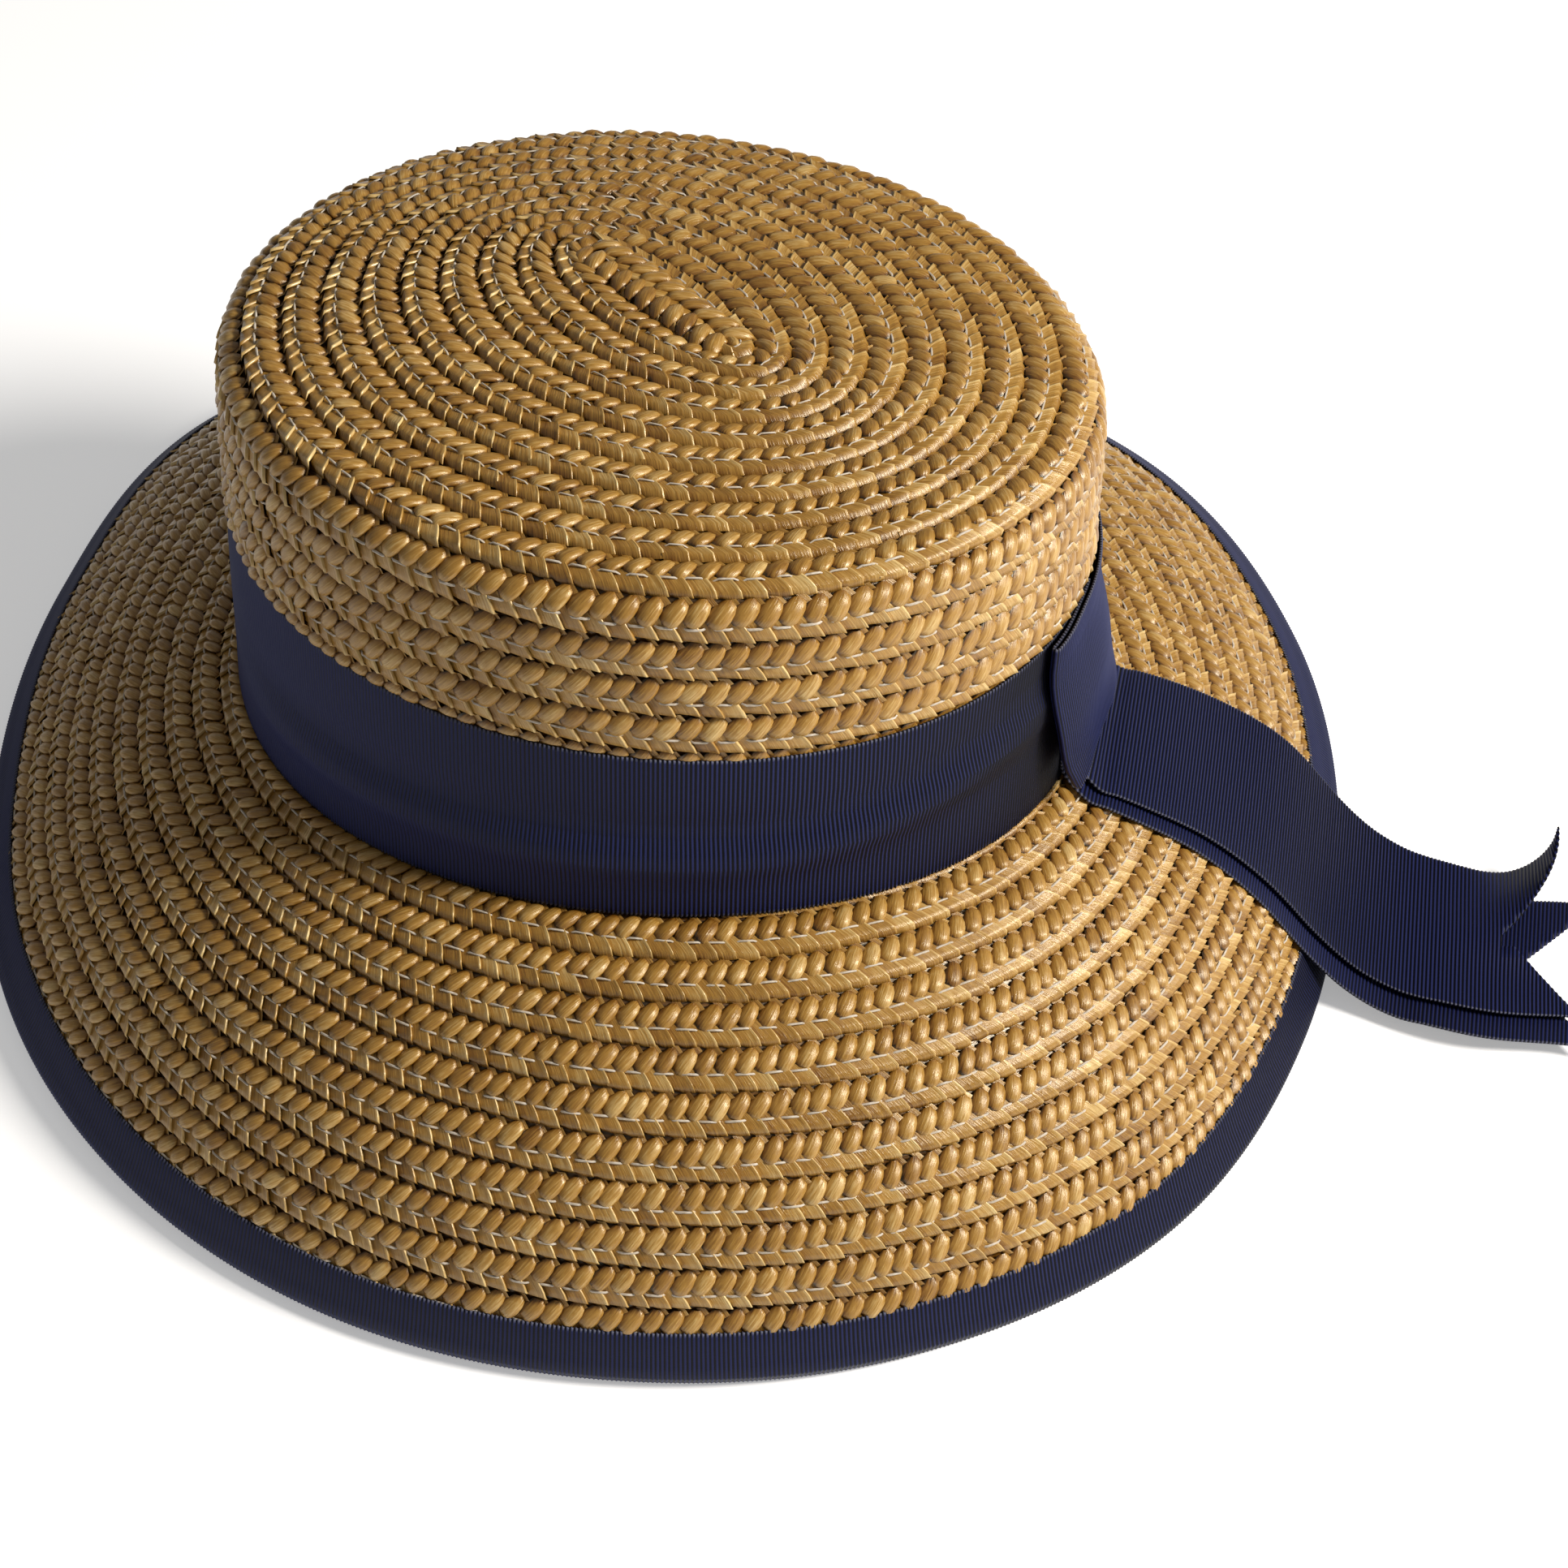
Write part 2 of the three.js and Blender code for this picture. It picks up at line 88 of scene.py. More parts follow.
# The edge's reach in sixteen even directions, from +x towards +y, as shares of BRIM_EDGE_MEAN. It is
# the rounded output of a fit to the edge as seen from the front, with the hidden back guessed.
BRIM_REACH = (0.966, 1.015, 1.070, 1.068, 1.063, 1.080, 1.095, 0.996,
              0.937, 0.932, 0.930, 0.933, 0.938, 0.957, 0.973, 0.959)
BRIM_FACETS = 54
STRAW_WALL = 2.2
LAP_STEP = 0.9           # of the walls
PLAIT_LAP = 1.35         # and of the plait that covers them
PLAIT_RELIEF = 0.55      # how much further out the plait's strands hold the tails
START_HALF = 6.7         # half the width of the braid in the crown's middle
START_LINE = 0.60        # place across a row that lies on that braid's middle line
STITCH_LINE = 0.595      # place across a row of the running stitch
STITCH_LIFT = 0.72       # and its height off the plait

# Ribbons
BAND_TOP = 45.7
RIBBON_WALL = 1.0
RIBBON_WIDTH = 48.0
BINDING_COVER = 11.0
BINDING_WALL = 0.9
LOOP_FROM = math.radians(-32)
LOOP_TO = math.radians(13)
LOOP_SLANT = math.radians(3.7)
LOOP_WALL = 1.2
LOOP_FLARE = 3.9
LOOP_FOOT = 6.0
TAIL_TOWARD = math.radians(-9)
TAIL_REACH = 124.0
LOWER_TAIL_MORE = 5.0
LOWER_TAIL_ASIDE = 3.4
LOWER_TAIL_YAW = math.radians(2)
TAIL_NOTCH = 20.0
TAIL_ROOT = 14.0
TAIL_TURN = 3.2
TAIL_WEIGHT = 0.02
TIP_CURL = math.radians(95)
TIP_CURL_LENGTH = 24.0
TAIL_STEPS = 26
CLEARANCE = 0.3

# The tails' way over the brim, as shares of the ribbon's width at shares of the reach: side is
# the middle line's sideways place, lift its height off what is under it, far its far side's more
TAIL_WAY = {
    "at": (0.00, 0.13, 0.25, 0.37, 0.47, 0.58, 0.72, 0.84, 1.00),
    "side": (-0.06, 0.00, 0.09, 0.12, 0.11, 0.05, -0.03, -0.05, 0.02),
    "lift": (0.00, 0.01, 0.00, 0.00, 0.00, 0.03, 0.09, 0.10, 0.08),
    "far": (0.00, 0.02, 0.03, 0.05, 0.03, -0.02, -0.08, -0.10, -0.08),
}

# How far the loop's lower edge stands out along the loop, as a share of LOOP_FLARE
LOOP_WAY = {
    "at": (0.00, 0.28, 0.62, 0.85, 1.00),
    "flare": (0.80, 0.30, 1.00, 0.70, 0.00),
}

# Outline of a knot of the upper lane: its left and right side, in knots, at a place across the
# row, with its foot first
KNOT = {
    "across": (0.62, 0.54, 0.42, 0.28, 0.14, 0.00),
    "left": (-0.32, -0.58, -0.70, -0.62, -0.36, 0.06),
    "right": (-0.14, 0.12, 0.36, 0.55, 0.64, 0.46),
}

# The same of a strand of the lower lane, with the row's edge last
STRAND = {
    "across": (0.40, 0.55, 0.70, 0.85, 1.00),
    "left": (-1.40, -1.22, -1.02, -0.86, -0.76),
    "right": (-0.36, -0.09, 0.14, 0.30, 0.39),
}


def mix(a, b, share):
    return a + (b - a) * share


def smooth(share):
    s = np.clip(share, 0.0, 1.0)
    return s * s * (3 - 2 * s)


def through(a, b, c, d, f):
    """Value of a smooth line through four evenly spaced ones, between the middle two."""
    return b + 0.5 * f * (c - a + f * (2 * a - 5 * b + 4 * c - d + f * (3 * (b - c) + d - a)))


def value_at(table, column, share):
    """Value of one column of a table at a share, on a smooth line through its rows."""
    at = np.array(table["at"])
    values = np.array(table[column])
    last = len(at) - 1
    k = np.clip(np.searchsorted(at, share, side="right") - 1, 0, last - 1)
    part = (share - at[k]) / (at[k + 1] - at[k])
    near = [values[np.clip(k + step, 0, last)] for step in (-1, 0, 1, 2)]
    return through(*near, part)


def run_along(points):
    """Length along a line of points, from 0 at its first."""
    return np.concatenate([[0], np.cumsum(np.linalg.norm(np.diff(points, axis=0), axis=1))])


def to_hat(x, y, z):
    """Crown frame, z up the leaning crown's axis, to the hat's frame."""
    return np.stack([x,
                     y * math.cos(CROWN_LEAN) + z * math.sin(CROWN_LEAN),
                     CROWN_LIFT - y * math.sin(CROWN_LEAN) + z * math.cos(CROWN_LEAN)], -1)


HALF_WIDTH = 2 * CROWN_MEAN_HALF / (1 + OVAL_RATIO)
HALF_LENGTH = HALF_WIDTH * OVAL_RATIO
TIP_FLAT = HALF_WIDTH - TIP_ROUND
EDGE_ARC = TIP_ROUND * math.pi / 2
SIDE_TOP = CROWN_HEIGHT - TIP_ROUND
CROWN_ARC = TIP_FLAT + EDGE_ARC + SIDE_TOP - BAND_TOP - CLEARANCE
CROWN_PITCH = CROWN_ARC / CROWN_ROWS


def headline_height(angle):
    return -HEADLINE_WAVE * np.cos(2 * (angle - HEADLINE_WAVE_TURN)) - HEADLINE_TIP * np.sin(angle)


def oval_radius(angle, grow):
    g = angle - OVAL_TURN
    return 1 / np.hypot(np.cos(g) / (HALF_LENGTH + grow), np.sin(g) / (HALF_WIDTH + grow))


def flare_at(z):
    return CROWN_FLARE * (SIDE_TOP - z) / SIDE_TOP


def crown_profile(arc):
    """Share of the oval, how far past it, height and outward normal at an arc length."""
    slope = -2 * TIP_DOME * arc / TIP_FLAT ** 2
    steep = np.hypot(1, slope)
    bend = np.clip((arc - TIP_FLAT) / TIP_ROUND, 0, math.pi / 2)
    side_z = SIDE_TOP - (arc - TIP_FLAT - EDGE_ARC)
    on_tip = arc < TIP_FLAT
    on_edge = arc < TIP_FLAT + EDGE_ARC
    reach = np.where(on_tip, arc, TIP_FLAT + TIP_ROUND * np.sin(bend))
    z = np.where(on_tip, CROWN_HEIGHT + TIP_DOME * (1 - (arc / TIP_FLAT) ** 2),
                 np.where(on_edge, SIDE_TOP + TIP_ROUND * np.cos(bend), side_z))
    past = np.where(on_edge, 0.0, flare_at(side_z))
    out = np.where(on_tip, -slope / steep, np.sin(bend))
    up = np.where(on_tip, 1 / steep, np.cos(bend))
    return reach / HALF_WIDTH, past, z, out, up


def crown_point(turned, arc, lift):
    """Point of the crown at a turn round it, an arc length from the tip's middle and a lift."""
    inside, past, z, out, up = crown_profile(arc)
    long = mix(TIP_SLIT / 2, HALF_LENGTH, inside) + past + lift * out
    wide = HALF_WIDTH * inside + past + lift * out
    twist = mix(TIP_SLIT_TURN, OVAL_TURN, inside)
    x = long * np.cos(turned)
    y = wide * np.sin(turned)
    return to_hat(x * np.cos(twist) - y * np.sin(twist),
                  x * np.sin(twist) + y * np.cos(twist) + TIP_SLIT_SHIFT * (1 - inside),
                  z + lift * up)


def edge_reach(toward):
    place = (toward / TURN) % 1 * len(BRIM_REACH)
    first = np.floor(place).astype(int)
    table = np.array(BRIM_REACH)
    near = [table[(first + k) % len(table)] for k in (-1, 0, 1, 2)]
    return BRIM_EDGE_MEAN * through(*near, place - first)


class Brim:
    """Sections of the brim through the crown's axis, each a smooth bend to the edge."""

    def __init__(self, steps=1440):
        self.toward = np.arange(steps + 1) * TURN / steps
        angle = self.toward.copy()
        for _ in range(6):
            reach = oval_radius(angle, CROWN_FLARE)
            point = to_hat(reach * np.cos(angle), reach * np.sin(angle), headline_height(angle))
            miss = self.toward - np.arctan2(point[:, 1], point[:, 0])
            angle = angle + np.arctan2(np.sin(miss), np.cos(miss))
        self.head_reach = np.hypot(point[:, 0], point[:, 1])
        self.head_z = point[:, 2]
        front = np.maximum(0, -np.sin(self.toward)) ** 2
        curl = mix(BRIM_CURL_SIDE, BRIM_CURL_FRONT, front)
        fall = self.head_z - BRIM_EDGE_RISE
        run = edge_reach(self.toward) - self.head_reach
        self.start = np.arctan2(fall, run) - curl
        self.radius = np.hypot(fall, run) / (2 * np.sin(curl))
        self.arc = 2 * curl * self.radius

    def at(self, values, toward):
        return np.interp(np.mod(toward, TURN), self.toward, values)

    def point(self, toward, distance, lift):
        start = self.at(self.start, toward)
        radius = self.at(self.radius, toward)
        heading = start + distance / radius
        reach = self.at(self.head_reach, toward) + radius * (np.sin(heading) - np.sin(start))
        z = self.at(self.head_z, toward) - radius * (np.cos(start) - np.cos(heading))
        reach = reach + lift * np.sin(heading)
        return np.stack([reach * np.cos(toward), reach * np.sin(toward),
                         z + lift * np.cos(heading)], -1)

    def height(self, x, y, lift):
        """Height of the brim's surface, raised by lift, over a point, or 0 past its edge."""
        toward = np.arctan2(y, x)
        reach = np.hypot(x, y)
        length = self.at(self.arc, toward)
        low = np.zeros_like(reach)
        high = length.copy()
        for _ in range(24):
            middle = (low + high) / 2
            inside = np.hypot(*self.point(toward, middle, lift)[..., :2].T).T < reach
            low = np.where(inside, middle, low)
            high = np.where(inside, high, middle)
        end = np.hypot(*self.point(toward, length, lift)[..., :2].T).T
        return np.where(reach < end, self.point(toward, low, lift)[..., 2], 0.0)


BRIM = Brim()


def frame_shift():
    """From the hat's frame to the part's, by the binding's box in both."""
    toward = np.arange(BRIM_FACETS) * TURN / BRIM_FACETS
    arc = BRIM.at(BRIM.arc, toward)
    rim = BRIM.point(toward, arc, 0.0)
    shoulder = BRIM.point(toward, arc - BINDING_WALL, CLEARANCE + BINDING_WALL)
    both = np.concatenate([rim, shoulder])
    low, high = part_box("edge_binding")
    middle = (both.min(0) + both.max(0)) / 2
    return np.array([(low[k] + high[k]) / 2 - middle[k] / 1000 for k in (0, 1)] + [0.0])


SHIFT = frame_shift()


def linear(hex_colour):
    """sRGB hex to linear RGBA."""
    raw = [int(hex_colour[k:k + 2], 16) / 255 for k in (1, 3, 5)]
    return tuple(c / 12.92 if c <= 0.04045 else ((c + 0.055) / 1.055) ** 2.4 for c in raw) + (1.0,)


class StrawSettings(bpy.types.PropertyGroup):
    crown_knot: FloatProperty(name="Crown knot", description="Spacing of the knots along a crown row",
                              default=0.0046, unit="LENGTH")
    brim_knot: FloatProperty(name="Brim knot", description="Spacing of the knots along a brim row",
                             default=0.0042, unit="LENGTH")
    knot_rise: FloatProperty(name="Knot rise", description="Height of a knot above the plait",
                             default=0.00145, unit="LENGTH")
    stitch: FloatProperty(name="Stitch", description="Length of one running stitch",
                          default=0.0056, unit="LENGTH")
    thread: FloatProperty(name="Thread", description="Radius of the sewing thread",
                          default=0.00024, unit="LENGTH")
    seed: IntProperty(name="Seed", description="Start of the random unevenness", default=7)
    # Painted shade: the wall under the plait is drawn near black in place of the shade between the strands;
    # the ramp's lowest stop.
    gap: StringProperty(name="Gap", description="Wall under the plait, sRGB hex", default="#1c0f04")
    dark: StringProperty(name="Dark straw", description="Darkest strands, sRGB hex", default="#6a420e")
    middle: StringProperty(name="Straw", description="Most strands, sRGB hex", default="#a17834")
    pale: StringProperty(name="Pale straw", description="Palest strands, sRGB hex", default="#e0c588")
    cotton: StringProperty(name="Thread colour", description="Sewing thread, sRGB hex", default="#c9bfb0")


class RibbonSettings(bpy.types.PropertyGroup):
    rib: FloatProperty(name="Rib", description="Spacing of the grosgrain ribs",
                       default=0.00095, unit="LENGTH")
    rib_depth: FloatProperty(name="Rib depth", description="Height of a rib", default=0.00028, unit="LENGTH")
    navy: StringProperty(name="Navy", description="Ribbon colour, sRGB hex", default="#191f48")
    picot: StringProperty(name="Picot", description="Loops of the ribbon's edge, sRGB hex",
                          default="#5a5c6c")
    # Painted shade: the colour of the valleys between the ribs.
    rib_valley_shade: StringProperty(name="Deep navy", description="Between the ribs, sRGB hex", default="#030309")


class StageSettings(bpy.types.PropertyGroup):
    camera_place: FloatVectorProperty(name="Camera", description="Camera place in the hat's frame",
                                      default=(0.0307, -0.4991, 0.5477), unit="LENGTH")
    camera_pitch: FloatProperty(name="Pitch", description="Camera's angle below the horizon",
                                default=math.radians(47.02), subtype="ANGLE")
    camera_roll: FloatProperty(name="Roll", description="Camera's roll", default=math.radians(2.36),
                               subtype="ANGLE")
    lens: FloatProperty(name="Lens", description="Focal length in millimetres", default=68.99)
    key: FloatProperty(name="Key light", description="Power of the main light", default=30.0)
    key_turn: FloatProperty(name="Key turn", description="Direction that the main light comes from",
                            default=math.radians(-14), subtype="ANGLE")
    key_height: FloatProperty(name="Key height", description="Its angle above the floor",
                              default=math.radians(41), subtype="ANGLE")
    key_far: FloatProperty(name="Key distance", description="Its distance", default=1.5, unit="LENGTH")
    sky: FloatProperty(name="Sky", description="Strength of the even light", default=0.20)
    floor: StringProperty(name="Floor", description="Floor colour, sRGB hex", default="#f6f6f6")
    glow: FloatProperty(name="Glow", description="Light of the floor itself, a lit table's", default=0.34)


def metres(points):
    return points / 1000 + SHIFT


def finished(name, mesh, material, *, replaced=()):
    """Links a mesh as a piece that rides on the hat."""
    piece = bpy.data.objects.new(name, mesh)
    bpy.context.scene.collection.objects.link(piece)
    mesh.materials.append(material)
    mesh.shade_smooth()
    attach(piece, ROOT)
    if replaced:
        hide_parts(*replaced)
    return piece


def node(tree, kind, settings=None, **links):
    """Adds a node with its settings, and links or sets its inputs by name."""
    made = tree.nodes.new(kind)
    for key, value in (settings or {}).items():
        setattr(made, key, value)
    for key, value in links.items():
        socket = made.inputs[int(key[2:])] if key.startswith("in") and key[2:].isdigit() \
            else made.inputs[key.replace("_", " ")]
        if isinstance(value, bpy.types.NodeSocket):
            tree.links.new(value, socket)
        else:
            socket.default_value = value
    return made


def new_material(name, roughness, **settings):
    material = bpy.data.materials.new(name)
    material.use_nodes = True
    shader = material.node_tree.nodes["Principled BSDF"]
    shader.inputs["Roughness"].default_value = roughness
    for key, value in settings.items():
        shader.inputs[key.replace("_", " ")].default_value = value
    return material, material.node_tree, shader


def ramp(tree, factor, stops):
    made = node(tree, "ShaderNodeValToRGB", Fac=factor)
    while len(made.color_ramp.elements) < len(stops):
        made.color_ramp.elements.new(0.5)
    for element, (place, colour) in zip(made.color_ramp.elements, stops):
        element.position = place
        element.color = linear(colour)
    return made.outputs["Color"]


def straw_material(settings):
    """Split wheat straw: flat satin stalks with fine lengthwise fibres and a soft shine.

    The piece's UV map holds millimetres, along the stalk and across it; tone is each strand's own,
    plus painted shade in crevices and under neighbours and a painted highlight on rims.
    The shine is drawn out along the stalk.
    """
    material, tree, shader = new_material("wheat_straw_plait", 0.31, IOR=1.5, Anisotropic=0.6,
                                          Specular_IOR_Level=0.85,
                                          Specular_Tint=linear("#fff7e2"))
    plan = node(tree, "ShaderNodeUVMap", {"uv_map": "stalk"}).outputs["UV"]
    tone = node(tree, "ShaderNodeAttribute", {"attribute_name": "tone"}).outputs["Fac"]
    along = node(tree, "ShaderNodeMapping", Vector=plan, Scale=(0.22, 2.6, 1.0)).outputs["Vector"]
    fibre = node(tree, "ShaderNodeTexNoise", Vector=along, Scale=1.0, Detail=4.0,
                 Roughness=0.62).outputs["Fac"]
    blotch = node(tree, "ShaderNodeTexNoise", Vector=plan, Scale=0.35, Detail=2.0).outputs["Fac"]
    grained = node(tree, "ShaderNodeMath", {"operation": "MULTIPLY_ADD"},
                   in0=fibre, in1=0.75, in2=tone).outputs[0]
    mottled = node(tree, "ShaderNodeMath", {"operation": "MULTIPLY_ADD"},
                   in0=blotch, in1=0.20, in2=grained).outputs[0]
    shifted = node(tree, "ShaderNodeMath", {"operation": "SUBTRACT"}, in0=mottled, in1=0.475).outputs[0]
    # The lowest stop is painted shade, reached by the covered wall and by the strands' deepest painted
    # shading.
    colour = ramp(tree, shifted, [(0.0, settings.gap), (0.20, settings.dark),
                                  (0.52, settings.middle), (0.95, settings.pale)])
    tree.links.new(colour, shader.inputs["Base Color"])
    bump = node(tree, "ShaderNodeBump", Height=fibre, Strength=0.7, Distance=0.00022)
    tree.links.new(bump.outputs["Normal"], shader.inputs["Normal"])
    grain = node(tree, "ShaderNodeTangent", {"direction_type": "UV_MAP", "uv_map": "stalk"})
    tree.links.new(grain.outputs["Tangent"], shader.inputs["Tangent"])
    return material


def thread_material(settings):
    """Mercerised cotton sewing thread: pale, smooth, with a little sheen."""
    material, tree, shader = new_material("cotton_thread", 0.6, Sheen_Weight=0.2)
    plan = node(tree, "ShaderNodeTexCoord").outputs["Object"]
    speck = node(tree, "ShaderNodeTexNoise", Vector=plan, Scale=900.0, Detail=2.0).outputs["Fac"]
    colour = ramp(tree, speck, [(0.3, "#a99c88"), (0.7, settings.cotton)])
    tree.links.new(colour, shader.inputs["Base Color"])
    return material


def grosgrain_material(settings):
    """Rayon grosgrain: thick crosswise ribs bound by fine warp, matt and deep blue.

    The piece's UV map holds millimetres along and across the ribbon, so the colour follows the
    modelled ribs and darkens between them as painted shade; the warp threads are drawn 0.5 mm apart,
    coarser than real ones, to show.
    """
    material, tree, shader = new_material("navy_grosgrain", 0.5, Specular_IOR_Level=0.15)
    plan = node(tree, "ShaderNodeUVMap", {"uv_map": "ribbon"}).outputs["UV"]
    parts = node(tree, "ShaderNodeSeparateXYZ", Vector=plan)
    phase = node(tree, "ShaderNodeMath", {"operation": "MULTIPLY"}, in0=parts.outputs["X"],
                 in1=TURN / (settings.rib * 1000)).outputs[0]
    crest = node(tree, "ShaderNodeMath", {"operation": "COSINE"}, in0=phase).outputs[0]
    level = node(tree, "ShaderNodeMath", {"operation": "MULTIPLY_ADD"}, in0=crest, in1=0.5,
                 in2=0.5).outputs[0]
    warp = node(tree, "ShaderNodeMapping", Vector=plan, Scale=(0.5, 4.0, 1.0)).outputs["Vector"]
    thread = node(tree, "ShaderNodeTexNoise", Vector=warp, Scale=1.0, Detail=3.0).outputs["Fac"]
    warp_and_ribs = node(tree, "ShaderNodeMath", {"operation": "MULTIPLY_ADD"}, in0=thread, in1=0.5,
                in2=level).outputs[0]
    # Painted shade: near black in the valleys between the ribs, the ribbon's navy on their crests.
    navy_and_rib_shade = ramp(tree, warp_and_ribs, [(0.45, settings.rib_valley_shade), (1.0, settings.navy)])
    edge = node(tree, "ShaderNodeAttribute", {"attribute_name": "selvedge"}).outputs["Fac"]
    picot = node(tree, "ShaderNodeMath", {"operation": "MULTIPLY"}, in0=edge, in1=level).outputs[0]
    colour = node(tree, "ShaderNodeMix", {"data_type": "RGBA"}, in0=picot, in6=navy_and_rib_shade,
                  in7=linear(settings.picot)).outputs[2]
    tree.links.new(colour, shader.inputs["Base Color"])
    bump = node(tree, "ShaderNodeBump", Height=warp_and_ribs, Strength=0.35, Distance=0.0001)
    tree.links.new(bump.outputs["Normal"], shader.inputs["Normal"])
    return material


def material_once(name, maker, settings):
    return bpy.data.materials.get(name) or maker(settings)


def flat_grid(columns, rows):
    """Vertices in -1..1 and faces of a plane grid, columns along x and rows along y."""
    bm = bmesh.new()
    bmesh.ops.create_grid(bm, x_segments=columns, y_segments=rows, size=1.0)
    bm.verts.index_update()
    spots = np.array([v.co[:2] for v in bm.verts])
    faces = np.array([[v.index for v in f.verts] for f in bm.faces])
    bm.free()
    return spots / np.abs(spots).max(0), faces


def straw_mesh(name, points, faces, tone, plan):
    """A mesh of points in millimetres, with the tone and the place on the stalk at each."""
    mesh = bpy.data.meshes.new(name)
    mesh.from_pydata(metres(points).tolist(), [], faces.tolist())
    mesh.attributes.new("tone", "FLOAT", "POINT").data.foreach_set("value", tone)
    mesh.uv_layers.new(name="stalk").data.foreach_set("uv", plan[faces.ravel()].ravel())
    return mesh


def joined(name, points, faces, uv, tone):
    """One mesh of many copies: points (copies, n, 3), uv (copies, n, 2), tone (copies, n)."""
    copies, count = points.shape[:2]
    every = (faces[None] + (np.arange(copies) * count)[:, None, None]).reshape(-1, faces.shape[1])
    return straw_mesh(name, points.reshape(-1, 3), every, tone.ravel(), uv.reshape(-1, 2))


class Winding:
    """One plait wound in a spiral: where along it a place on the hat's surface is."""

    def __init__(self, surface, start, turns, knot):
        self.surface = surface
        self.knot = knot
        self.turned = start + np.arange(0, turns * TURN, math.radians(0.5))
        self.start = start
        self.run = run_along(surface(self.turned, (self.turned - start) / TURN, 0.5, 0.0))

    def places(self, spacing):
        count = int(self.run[-1] / spacing)
        return (np.arange(count) + 0.5) * spacing

    def point(self, run, across, lift):
        turned = np.interp(run, self.run, self.turned)
        return self.surface(turned, (turned - self.start) / TURN, across, lift)


class Straight:
    """A straight length of plait, with its middle at 0."""

    def __init__(self, surface, length):
        self.surface = surface
        self.length = length

    def places(self, spacing):
        count = int(self.length / spacing)
        return (np.arange(count) + 0.5) * spacing - self.length / 2

    def point(self, run, across, lift):
        return self.surface(run, 0, across, lift)


def slit_surface(along, across, lift, side):
    """Half of the braid that the crown's spiral starts from, on one side of its middle line."""
    side_drop = 1.2
    end_drop = 1.0
    end_run = 5
    aside = side * (START_LINE - across) * START_HALF / KNOT["across"][0]
    arc = np.hypot(np.maximum(np.abs(along) - TIP_SLIT / 2, 0), aside)
    inside, _, z, _, _ = crown_profile(arc)
    x = along * math.cos(TIP_SLIT_TURN) - aside * math.sin(TIP_SLIT_TURN)
    y = along * math.sin(TIP_SLIT_TURN) + aside * math.cos(TIP_SLIT_TURN)
    raised = PLAIT_LAP + lift - side_drop * smooth(np.abs(aside) / START_HALF * 4 - 3) \
        - end_drop * smooth((np.abs(along) - TIP_SLIT / 2) / end_run)
    return to_hat(x, y + TIP_SLIT_SHIFT * (1 - inside), z + raised)


def crown_surface(turned, row, across, lift):
    arc = CROWN_PITCH * (row - 0.5 + across)
    arc = np.maximum(arc, -0.3 * CROWN_PITCH)
    shown = smooth((CROWN_ARC - arc) / 1.2 + 0.6)
    raised = (PLAIT_LAP * np.clip(across, 0, 1) + lift) * mix(0.12, 1.0, shown)
    return crown_point(turned, arc, raised)


def brim_surface(turned, row, across, lift):
    length = BRIM.at(BRIM.arc, turned) - BINDING_COVER
    arc = length * (row - 1 + across) / BRIM_ROWS
    shown = smooth((arc - 0.2) / 1.0) * smooth((length - 1.0 - arc) / 1.6)
    raised = (PLAIT_LAP * np.clip(across, 0, 1) + lift) * mix(0.1, 1.0, shown)
    return BRIM.point(turned, np.clip(arc, -1.5, length + 6.0), raised)


def between_sides(outline, spots):
    """Places of a grid's spots between the two sides of an outline, and the places across."""
    xi, eta = spots.T
    rows = np.linspace(1, -1, len(outline["across"]))[::-1]
    across = np.interp(eta, rows, outline["across"])
    left = np.interp(eta, rows, outline["left"])
    right = np.interp(eta, rows, outline["right"])
    return mix(left, right, (xi + 1) / 2), across


def knot_shape(spots, rise):
    """The broad slanted knot of the upper lane, its right edge over the next knot.

    Along in knots, across in rows and lift in mm, with the stalk's own plan and its painted shade.
    """
    xi = np.interp(spots[:, 0], np.linspace(-1, 1, 7), (-1, -0.62, -0.22, 0.20, 0.60, 0.955, 1))
    eta = spots[:, 1]
    along, across = between_sides(KNOT, np.stack([xi, eta], -1))
    crest = 0.25
    left_fall = 0.82
    right_fall = 0.42
    end_fall = 0.62
    foot_fall = 0.22
    seat = 0.10
    tuck = 0.60
    up = 1 - np.clip((crest - xi) / (1 + crest), 0, 1) ** 2 * left_fall
    down = 1 - np.clip((xi - crest) / (1 - crest), 0, 1) ** 2 * right_fall
    ends = 1 - end_fall * np.abs(eta) ** 3 - foot_fall * (eta < -0.9)
    lift = rise * up * down * ends + seat - tuck * (xi > 0.99)
    # Painted shade: darker in the crevice at the left edge under the neighbouring knot, on the tucked right
    # edge, and at the head under the row above.
    painted_shading = -0.50 * np.exp(-((xi + 1) / 0.34) ** 2) - 0.46 * (xi > 0.99) - 0.24 * (eta > 0.9)
    knot_length = 4.4
    row_width = 8.6
    slant = (0.66, 0.75)
    run = knot_length * along
    up_row = -row_width * across
    stalk = np.stack([slant[0] * run + slant[1] * up_row, -slant[1] * run + slant[0] * up_row], -1)
    return along, across, lift, stalk, painted_shading


def under_shape(spots, rise):
    """The bit of crossing strand that shows between two knots' heads."""
    xi, eta = spots.T
    along = -0.33 + 0.27 * eta + 0.22 * xi
    across = 0.12 + 0.17 * eta
    lift = (0.24 + 0.10 * xi) * rise
    stalk = np.stack([eta * 1.8, xi * 1.4], -1)
    # The last value is painted shade, darkest at the left side beside the previous knot's raised edge.
    return along, across, lift, stalk, -0.12 * (1 - xi)


